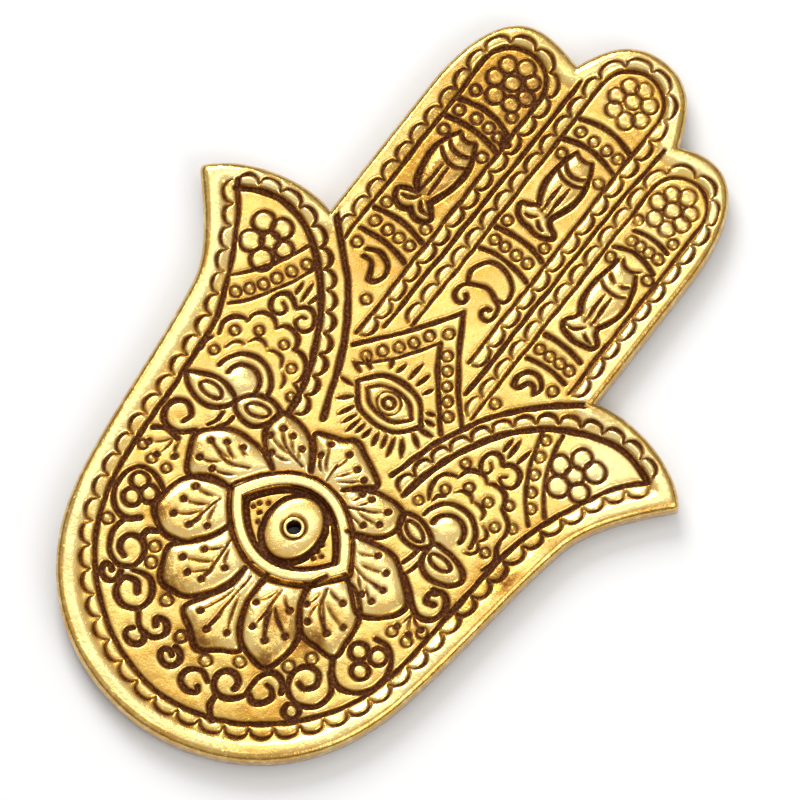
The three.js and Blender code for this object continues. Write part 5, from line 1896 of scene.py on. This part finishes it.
@dataclass(frozen=True)
class GoldFinish:
    """Gold-coloured metal: bright on its high places and red brown in its cuts."""

    name: str
    # The deep gold shows in random clouds, and as painted shade beside the cuts
    deep: Colour = (0.70, 0.37, 0.04)
    gold: Colour = (0.80, 0.53, 0.105)
    bright: Colour = (0.88, 0.64, 0.22)
    # The pale gold is painted where the stain guide is below 0, mostly as painted highlights
    pale: Colour = (0.97, 0.75, 0.32)
    amber: Colour = (0.28, 0.11, 0.02)
    patina: Colour = (0.062, 0.014, 0.003)
    roughness: float = 0.17
    dull: float = 0.08
    polish: float = -0.1
    polish_edge: Point = (-0.3, 0.7)
    fleck_roughness: float = 0.12
    dark_roughness: float = 0.22
    dark_metallic: float = 0.1
    specular: float = 0.08
    coat: float = 1.0
    coat_roughness: float = 0.12
    coat_ior: float = 1.6
    coat_edge: Point = (0, 0.55)
    cloud_edge: Point = (0.35, 0.65)
    cloud_share: float = 0.5
    bright_edge: Point = (0.0, 0.65)
    grain: float = 0.00011
    grain_strength: float = 0.8

    def material(self) -> bpy.types.Material:
        """Builds the finish."""
        material, nodes, shader = new_material(self.name)
        grain = nodes.node("Group", {"node_tree": CastGrain().group()})
        crown = nodes.node("Attribute", {"attribute_name": CROWN_GUIDE}).outputs["Fac"]
        # Paler gold on raised places and in random clouds
        lowered = nodes.math("ADD", crown, -self.cloud_share / 2)
        bright_share = nodes.math("MULTIPLY_ADD", grain.outputs["Cloud"], self.cloud_share, lowered)
        clouds = nodes.span(grain.outputs["Cloud"], self.cloud_edge)
        cloudy = nodes.mix(clouds, solid(self.deep), solid(self.gold))
        gold = nodes.mix(nodes.span(bright_share, self.bright_edge), cloudy, solid(self.bright))
        patina = nodes.node("Group", {"node_tree": CutPatina().group()}, Gold=gold, Deep=solid(self.deep),
                            Pale=solid(self.pale), Amber=solid(self.amber), Patina=solid(self.patina))
        dark = patina.outputs["Dark"]
        brightened = nodes.math("MULTIPLY_ADD", nodes.span(bright_share, self.polish_edge), self.polish,
                            self.roughness + self.dull)
        rough = nodes.math("MULTIPLY_ADD", grain.outputs["Fleck"], self.fleck_roughness, brightened)
        bump = nodes.node("Bump", Height=grain.outputs["Height"], Strength=self.grain_strength,
                          Distance=self.grain)
        for label, value in (
            ("Specular IOR Level", self.specular),
            ("Coat Roughness", self.coat_roughness),
            ("Coat IOR", self.coat_ior),
            ("Coat Weight", nodes.span(patina.outputs["Tarnish"], self.coat_edge, (self.coat, 0))),
            ("Base Color", patina.outputs["Color"]),
            ("Metallic", nodes.span(dark, (0, 1), (1, self.dark_metallic))),
            ("Roughness", nodes.math("MULTIPLY_ADD", dark, self.dark_roughness, rough)),
            ("Normal", bump.outputs["Normal"]),
        ):
            nodes.put(shader.inputs[label], value)
        return material


@dataclass(frozen=True)
class FeltFinish:
    """Pressed wool felt."""

    name: str
    light: Colour = (0.060, 0.040, 0.028)
    dark: Colour = (0.026, 0.017, 0.012)
    fibre_scale: float = 3200
    tuft_scale: float = 900
    tuft_edge: Point = (0.3, 0.7)
    roughness: float = 0.95
    sheen: float = 0.35
    sheen_roughness: float = 0.5
    nap: float = 0.0003
    nap_strength: float = 0.9

    def material(self) -> bpy.types.Material:
        """Builds the finish."""
        material, nodes, shader = new_material(self.name)
        fibre = nodes.math("MULTIPLY", nodes.noise(self.fibre_scale, 5, 0.7), 0.5)
        both = nodes.math("MULTIPLY_ADD", nodes.noise(self.tuft_scale), 0.5, fibre)
        bump = nodes.node("Bump", Height=both, Strength=self.nap_strength, Distance=self.nap)
        for label, value in (
            ("Base Color", nodes.mix(nodes.span(both, self.tuft_edge), solid(self.dark), solid(self.light))),
            ("Roughness", self.roughness),
            ("Sheen Weight", self.sheen),
            ("Sheen Roughness", self.sheen_roughness),
            ("Normal", bump.outputs["Normal"]),
        ):
            nodes.put(shader.inputs[label], value)
        return material


# Pieces

@dataclass
class Piece:
    """One piece of the holder, in place of its plain solid."""

    node: str
    slot: str
    finish: Finish

    def levels(self) -> tuple[float, float]:
        """The lowest and highest point of its plain solid, in millimetres."""
        low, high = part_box(self.node)
        return low.z / MM, high.z / MM

    def middle(self) -> Point:
        """The middle of its plain solid, in millimetres from the middle line and the wrist edge."""
        low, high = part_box(self.node)
        return (low.x + high.x) / 2 / MM, (low.y + high.y) / 2 / MM + HandOutline.middle_tip / 2

    def mesh(self) -> bpy.types.Mesh:
        """Builds its mesh."""
        raise NotImplementedError

    def build(self) -> None:
        """Builds the piece, dresses it and puts it in place of its plain solid."""
        mesh = self.mesh()
        mesh.materials.append(self.finish.material())
        piece = placed(f"{self.node}_dressed", mesh)
        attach(piece, BODY)
        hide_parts(self.node)
        LOG.info("%s: %d corners, %d faces", piece.name, len(mesh.vertices), len(mesh.polygons))


@dataclass
class HandPlate(Piece):
    """The dish: a carved face, a rounded edge, and an underside drilled for the socket.

    Angles of the edge are in degrees. A map gives a place on the bake map.
    """

    outline: HandOutline = HandOutline()
    eye: EyeShape = EyeShape()
    field_thickness: float = 3.3
    rim_height: float = 0.5
    edge_round: float = 1.3
    edge_angles: Sequence[float] = (0, 14, 28, 42, 56, 68, 79)
    edge_break: float = 0.4
    break_angles: Sequence[float] = (0, 30, 60, 90)
    recess: float = 0.9
    seat_radius: float = 3.35
    seat_depth: float = 0.8
    hole_radius: float = 2.05
    fine: float = 0.225
    fine_cut: float = -0.5
    fine_blur: float = 0.3
    fine_share: float = 0.02
    coarse: float = 0.55
    coarse_blur: float = 0.4
    edge_clear: float = 0.14
    under_step: float = 2.2
    under_grid: Grid = Grid(pitch=0.25, columns=400, rows=576)
    hole_clear: float = 1
    edge_cut: float = -1
    edge_crown: float = 0.3
    # Darkens the wall, the rounded edge and the underside
    edge_darkening: float = 0.45
    face_map_scale: float = 0.0069
    under_map_scale: float = 0.003
    map_margin: float = 0.003
    wall_map: Box = (0.7, 0.46, 0.99, 0.9)
    wall_strips: int = 10
    seat_map: float = 0.92
    seat_map_step: float = 0.02
    seat_map_height: float = 0.018

    def inner_points(self, relief: Relief) -> Array:
        """Spreads points over the face, close together where it is carved and wide apart where it is plain.

        Args:
            relief: the carved face.

        Returns:
            The points.
        """
        grid = relief.grid
        carved = (relief.cut > self.fine_cut).astype(np.float32)
        busy = grid.blurred(carved, self.fine_blur) > self.fine_share
        busy |= grid.filled(self.eye.almond())
        plain = grid.blurred(busy.astype(np.float32), self.coarse_blur) == 0
        inside = grid.filled(self.outline.ring(self.edge_round + self.edge_clear))
        found = []
        for step, wanted in ((self.fine, inside & busy), (self.coarse, inside & plain)):
            points = honeycomb(step)
            found.append(points[grid.sample(wanted.astype(np.float32), points) > 0.5])
        points = np.vstack(found)
        clear = self.seat_radius + self.fine
        return points[np.hypot(*(points - self.eye.iris_centre).T) > clear]

    def mesh(self) -> bpy.types.Mesh:
        """Builds its mesh."""
        relief = CarvedFace(self.outline, self.eye, ORNAMENTS, self.edge_round, self.rim_height,
                            self.recess).relief()
        bottom = self.levels()[0]
        ground = bottom + self.field_thickness
        skin = Skin()
        inner = self.inner_points(relief)
        seat = circle(self.eye.iris_centre, self.seat_radius)
        top_edge = self.outline.ring(self.edge_round)
        on_edge = slice(len(top_edge))
        on_seat = slice(len(top_edge), len(top_edge) + len(seat))
        flat = np.vstack([top_edge, seat, inner])
        heights = ground + relief.grid.sample(relief.height, flat)
        heights[on_seat] = ground - self.recess
        face = skin.add(flat, heights)
        triangles = triangulated(top_edge, seat, inner)
        bake = self.level_map(flat, self.face_map_scale, self.map_margin)
        skin.face(face[triangles], bake[triangles])
        rings = self.edge_rings(skin, bottom, ground + self.rim_height)
        upper = [*rings[1:], face[on_edge]]
        left, low, right, high = self.wall_map
        tall = (high - low) / len(upper)
        for number, (low_ring, high_ring) in enumerate(zip(rings, upper)):
            foot = low + tall * number
            skin.loft(low_ring, high_ring, (left, foot, right, foot + tall * MAP_FILL), self.wall_strips)
        self.close_underside(skin, rings[0], face[on_seat], bottom, ground)
        mesh = skin.mesh(self.node)
        self.guides(mesh, skin, relief, len(flat))
        return mesh

    def level_map(self, flat: Array, scale: float, left: float) -> Array:
        """Bake map of a level face: its x and y times a scale, from a left edge."""
        across, along = (flat - HAND_LOW).T * scale
        return np.column_stack([left + across, self.map_margin + along])

    def edge_rings(self, skin: Skin, bottom: float, crest: float) -> list[Array]:
        """Rings of the edge from the underside up to just under the crest of the rim.

        Args:
            skin: the mesh.
            bottom: height of the underside.
            crest: height of the rim.

        Returns:
            Corners of each ring.
        """
        section = []
        for angle in np.radians(self.break_angles):
            inset = self.edge_break * (1 - math.sin(angle))
            section.append((inset, bottom + self.edge_break * (1 - math.cos(angle))))
        section.append((0, (bottom + crest) / 2))
        for angle in np.radians(self.edge_angles):
            inset = self.edge_round * (1 - math.cos(angle))
            section.append((inset, crest - self.edge_round * (1 - math.sin(angle))))
        return [skin.add(self.outline.ring(inset), height) for inset, height in section]

    def close_underside(self, skin: Skin, edge: Array, seat: Array, bottom: float,
                        ground: float) -> None:
        """Adds the underside, the hole for the socket and the seat for its flange.

        Args:
            skin: the mesh.
            edge: corners of the underside's edge.
            seat: corners of the seat's rim in the recess.
            bottom: height of the underside.
            ground: height of the field.
        """
        centre = self.eye.iris_centre
        drilled = circle(centre, self.hole_radius)
        left, _, right, _ = self.wall_map
        floor = ground - self.recess - self.seat_depth
        seat_foot = skin.add(circle(centre, self.seat_radius), floor)
        step = skin.add(drilled, floor)
        hole = skin.add(drilled, bottom)
        for number, (outer, inner) in enumerate(((seat, seat_foot), (seat_foot, step), (step, hole))):
            foot = self.seat_map + self.seat_map_step * number
            skin.loft(inner, outer, (left, foot, right, foot + self.seat_map_height))
        ring = self.outline.ring(self.edge_break)
        points = honeycomb(self.under_step)
        inside = self.under_grid.filled(self.outline.ring(self.edge_break + 0.5 * self.under_step))
        points = points[self.under_grid.sample(inside.astype(np.float32), points) > 0.5]
        points = points[np.hypot(*(points - centre).T) > self.hole_radius + self.hole_clear]
        corners = np.concatenate([edge, hole, skin.add(points, bottom)])
        triangles = triangulated(ring, drilled, points)
        bake = self.level_map(np.vstack([ring, drilled, points]), self.under_map_scale, left)
        skin.face(corners[triangles][:, ::-1], bake[triangles][:, ::-1])

    def guides(self, mesh: bpy.types.Mesh, skin: Skin, relief: Relief, carved: int) -> None:
        """Stores what guides the finish.

        Args:
            mesh: the mesh.
            skin: what it was built from.
            relief: the carved face.
            carved: how many of its first corners belong to that face.
        """
        corners = np.vstack(skin.corners)
        flat = corners[:carved, :2]
        for name, grid_values, plain in ((CUT_GUIDE, relief.cut, self.edge_cut),
                                         (CROWN_GUIDE, relief.crown(), self.edge_crown),
                                         (STAIN_AND_LIGHT_GUIDE, relief.stain, self.edge_darkening)):
            values = np.full(len(corners), plain, np.float32)
            values[:carved] = relief.grid.sample(np.clip(grid_values, -1, 1), flat)
            guide(mesh, name, values)


@dataclass
class TurnedPiece(Piece):
    """A piece whose skin runs round an upright axis through rings of equal counts."""

    count: int = 96
    map_left: float = 0.01
    map_right: float = 0.99

    def rings(self) -> list[Ring]:
        """Its rings, in order round the section."""
        raise NotImplementedError

    def mesh(self) -> bpy.types.Mesh:
        """Builds its mesh."""
        skin = Skin()
        centre = self.middle()
        rings = self.rings()
        unit = circle((0, 0), 1, self.count)
        added = [skin.add(unit * (wide, tall) + centre, z) for wide, tall, z, _ in rings]
        strip = 1 / len(rings)
        for number, ring in enumerate(added):
            foot = number * strip
            box = (self.map_left, foot, self.map_right, foot + strip * MAP_FILL)
            skin.loft(ring, added[(number + 1) % len(added)], box)
        mesh = skin.mesh(self.node)
        cuts = np.repeat([cut for _, _, _, cut in rings], self.count)
        guide(mesh, CUT_GUIDE, cuts)
        guide(mesh, CROWN_GUIDE, -cuts)
        guide(mesh, STAIN_AND_LIGHT_GUIDE, np.zeros(len(cuts)))
        return mesh


@dataclass
class IrisBoss(TurnedPiece):
    """The oval dome of the eye, open in the middle."""

    eye: EyeShape = EyeShape()
    opening: float = 1.8
    sink: float = 2.25
    edge: float = 1.2
    foot_break: float = 0.1
    dome_steps: int = 14
    dome_power: int = 4
    lip: float = 0.12
    opening_drop: float = 2.5
    edge_cut: float = 0.2
    # Painted shade and highlight: the dome's guide darkens it near its foot and leaves its top clean and
    # brightest
    dome_shade: Point = (-0.05, -0.95)
    sink_cut: float = -0.15
    opening_cut: float = 0.2

    def rings(self) -> list[Ring]:
        """Its rings, in order round the section.

        Returns:
            From the foot of the opening out, up, over the dome and back into the opening.
        """
        low, high = self.levels()
        wide, tall = self.eye.iris_half_width, self.eye.iris_half_height
        found = [(self.opening, self.opening, low, 1.0),
                 (wide - self.foot_break, tall - self.foot_break, low, 1.0),
                 (wide, tall, low + self.foot_break, 1.0), (wide, tall, low + self.edge, self.edge_cut)]
        reach = self.sink + self.lip
        crown = high - low - self.edge
        power = self.dome_power
        start, gain = self.dome_shade
        for number in range(1, self.dome_steps + 1):
            t = number / self.dome_steps
            across, along = wide + (reach - wide) * t, tall + (reach - tall) * t
            out = 1 - t * (1 - reach / wide)
            dome = (1 - out**power) ** 0.5 / (1 - (reach / wide) ** power) ** 0.5
            found.append((across, along, low + self.edge + crown * dome, start + gain * t))
        found.append((self.sink, self.sink, high - self.lip, self.sink_cut))
        found.append((self.opening, self.opening, high - self.opening_drop * self.lip, self.opening_cut))
        return found


@dataclass
class StickSocket(TurnedPiece):
    """A flanged tube that takes the stick."""

    bore: float = 1.15
    radius: float = 1.75
    flange: float = 3.05
    flange_thickness: float = 0.8
    iris: str = "iris_boss"
    lip: float = 0.18
    lip_round: float = 0.3

    def rings(self) -> list[Ring]:
        """Its rings, in order round the section.

        Returns:
            From the foot of the bore out, up the outside, over the lip and down into the bore.
        """
        low, high = self.levels()
        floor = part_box(self.iris)[0].z / MM
        seat = floor - self.flange_thickness
        rounding = self.lip_round * self.lip
        section = [
            (self.bore, low, 1.0), (self.radius, low, 0.4),
            (self.radius, seat, 1.0), (self.flange, seat, 1.0),
            (self.flange, floor, 1.0), (self.radius, floor, 1.0),
            (self.radius, high - 2.5 * self.lip, 0.9), (self.radius, high - self.lip, -0.2),
            (self.radius - rounding, high - rounding, -0.8), (self.radius - self.lip, high, -1.0),
            (self.bore + self.lip, high, -1.0), (self.bore + rounding, high - rounding, -0.6),
            (self.bore, high - self.lip, 0.1), (self.bore, high - 3 * self.lip, 1.0),
        ]
        return [(radius, radius, z, cut) for radius, z, cut in section]


@dataclass
class FootPad(Piece):
    """One felt foot, with a soft rounded edge."""

    bevel: float = 0.35
    bevel_angles: Sequence[float] = (0, 30, 60, 90)
    count: int = 72
    sole_shares: Sequence[float] = (0.08, 0.3, 0.55, 0.78)
    top_break: Sequence[Point] = ((0.06, 0.2), (0.2, 0))
    rough: float = 0.07
    rough_share: float = 0.3
    rough_from: float = 0.8
    lift: float = 0.06
    wall_map: Box = (0.01, 0, 0.99, 0.8)
    sole_map: Disc = (0.5, 0.9, 0.08)

    def mesh(self) -> bpy.types.Mesh:
        """Builds its mesh."""
        low, high = self.levels()
        box_low, box_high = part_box(self.node)
        radius = (box_high.x - box_low.x) / 2 / MM
        chance = np.random.default_rng(FELT_SEED)
        skin = Skin()
        centre = self.middle()
        section = [(radius * share, low) for share in self.sole_shares]
        for angle in np.radians(self.bevel_angles):
            rise = self.bevel * (1 - math.cos(angle))
            section.append((radius - self.bevel * (1 - math.sin(angle)), low + rise))
        section.append((radius, (low + high) / 2))
        section += [(radius - inset, high - drop) for inset, drop in self.top_break]
        added = []
        for reach, z in section:
            rough = chance.uniform(-self.rough, 0, self.count)[:, None]
            outer = reach > self.rough_from * radius
            flat = circle((0, 0), 1, self.count) * (reach * (1 + rough * outer * self.rough_share))
            lift = chance.uniform(0, self.lift, self.count) * (z < high)
            added.append(skin.add(flat + centre, z + lift))
        left, _, right, top = self.wall_map
        tall = top / len(added)
        for number, (ring, following) in enumerate(zip(added, added[1:])):
            skin.loft(ring, following, (left, number * tall, right, (number + MAP_FILL) * tall))
        x, y, half = self.sole_map
        sole = circle((x, y), half, self.count)
        skin.face(added[0][::-1][None], sole[::-1][None])
        skin.face(added[-1][None], sole[None])
        return skin.mesh(self.node)


# Studio

@dataclass(frozen=True)
class SoftBox:
    """A large soft lamp that looks at the holder."""

    name: str
    place: tuple[float, float, float]
    width: float
    height: float
    power: float

    def build(self) -> None:
        """Hangs the lamp."""
        light = bpy.data.lights.new(self.name, "AREA")
        light.shape = "RECTANGLE"
        light.size = self.width
        light.size_y = self.height
        light.energy = self.power
        lamp = placed(self.name, light)
        lamp.location = self.place
        lamp.rotation_euler = (-Vector(self.place)).to_track_quat("-Z", "Y").to_euler()


@dataclass(frozen=True)
class Studio:
    """A pale floor, soft lamps and a camera nearly overhead.

    The target and the width of the frame are in millimetres, and the other lengths in metres.
    """

    lean: float = 37.2
    tilt: float = 15.5
    target: tuple[float, float, float] = (1.49, -1.66, 5.0)
    frame_width: float = 128.63
    distance: float = 2.4
    sensor: float = 36
    sight: float = 20
    floor_size: float = 6
    paper: Colour = (0.785, 0.785, 0.785)
    sky_edge: Point = (0, 0.9)
    sky: Point = (0.2, 0.85)
    lamps: Sequence[SoftBox] = (
        SoftBox("key", (-0.7, 0.5, 0.8), 0.6, 0.6, 9),
        SoftBox("overhead", (-0.081, 0.107, 0.506), 0.34, 0.09, 0.147),
        SoftBox("fill", (0.75, -0.1, 0.7), 0.6, 0.6, 3),
    )

    def build(self) -> None:
        """Sets the floor, the lamps, the world and the camera."""
        self.floor()
        self.world()
        for lamp in self.lamps:
            lamp.build()
        self.camera()
        bpy.context.scene.view_settings.view_transform = "Standard"

    def floor(self) -> None:
        """Lays a pale floor that keeps the holder's shadow."""
        half = self.floor_size / 2
        mesh = bpy.data.meshes.new("floor")
        corners = [(-half, -half, 0), (half, -half, 0), (half, half, 0), (-half, half, 0)]
        mesh.from_pydata(corners, [], [(0, 1, 2, 3)])
        material, nodes, _ = new_material("white_paper")
        nodes.tree.nodes.clear()
        paper = nodes.node("BsdfDiffuse", Color=solid(self.paper))
        nodes.node("OutputMaterial", Surface=paper.outputs[0])
        mesh.materials.append(material)
        floor = placed("floor", mesh)

    def world(self) -> None:
        """Soft light from all round, brighter overhead."""
        world = bpy.data.worlds.new("studio")
        bpy.context.scene.world = world
        world.use_nodes = True
        nodes = NodeTree(world.node_tree)
        nodes.tree.nodes.clear()
        heading = nodes.node("TexCoord").outputs["Generated"]
        up = nodes.node("SeparateXYZ", Vector=heading).outputs["Z"]
        shade = nodes.span(up, self.sky_edge, self.sky)
        soft = nodes.node("Background", Color=solid((1, 1, 1)), Strength=shade)
        nodes.node("OutputWorld", Surface=soft.outputs[0])

    def camera(self) -> None:
        """Sets the camera nearly overhead, with the fingers leaning to the right."""
        lean, tilt = math.radians(self.lean), math.radians(self.tilt)
        back = Vector((math.sin(lean) * math.sin(tilt), -math.cos(lean) * math.sin(tilt), math.cos(tilt)))
        right = Vector((math.cos(lean), math.sin(lean), 0))
        data = bpy.data.cameras.new("camera")
        data.sensor_width = self.sensor
        data.lens = data.sensor_width * self.distance / (self.frame_width * MM)
        data.clip_end = self.sight
        camera = placed("camera", data)
        camera.location = Vector(self.target) * MM + back * self.distance
        camera.rotation_euler = Matrix((right, back.cross(right), back)).transposed().to_euler()
        bpy.context.scene.camera = camera


ORNAMENTS: tuple[Ornament, ...] = (
    PalmBorder(), *THUMBS, *FINGERS, *CRESCENTS, Brow(), SmallEye(), *FANS, *LEAVES, *LOTUS, *SCROLLS)
PADS = ("foot_pad_left_finger", "foot_pad_right_finger", "foot_pad_left_palm", "foot_pad_right_palm")


def main() -> None:
    """Builds the holder and the studio round it."""
    logging.basicConfig(level=logging.INFO, format="%(name)s %(message)s")
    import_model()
    felt = FeltFinish("felt")
    pieces: list[Piece] = [
        HandPlate("hand_plate", "cast_gold", GoldFinish("cast_gold")),
        IrisBoss("iris_boss", "polished_gold", GoldFinish("polished_gold", roughness=0.2)),
        StickSocket("stick_socket", "turned_gold", GoldFinish("turned_gold", roughness=0.18)),
        *(FootPad(name, "felt", felt) for name in PADS),
    ]
    for piece in pieces:
        piece.build()
    Studio().build()


if __name__ == "__main__":
    main()
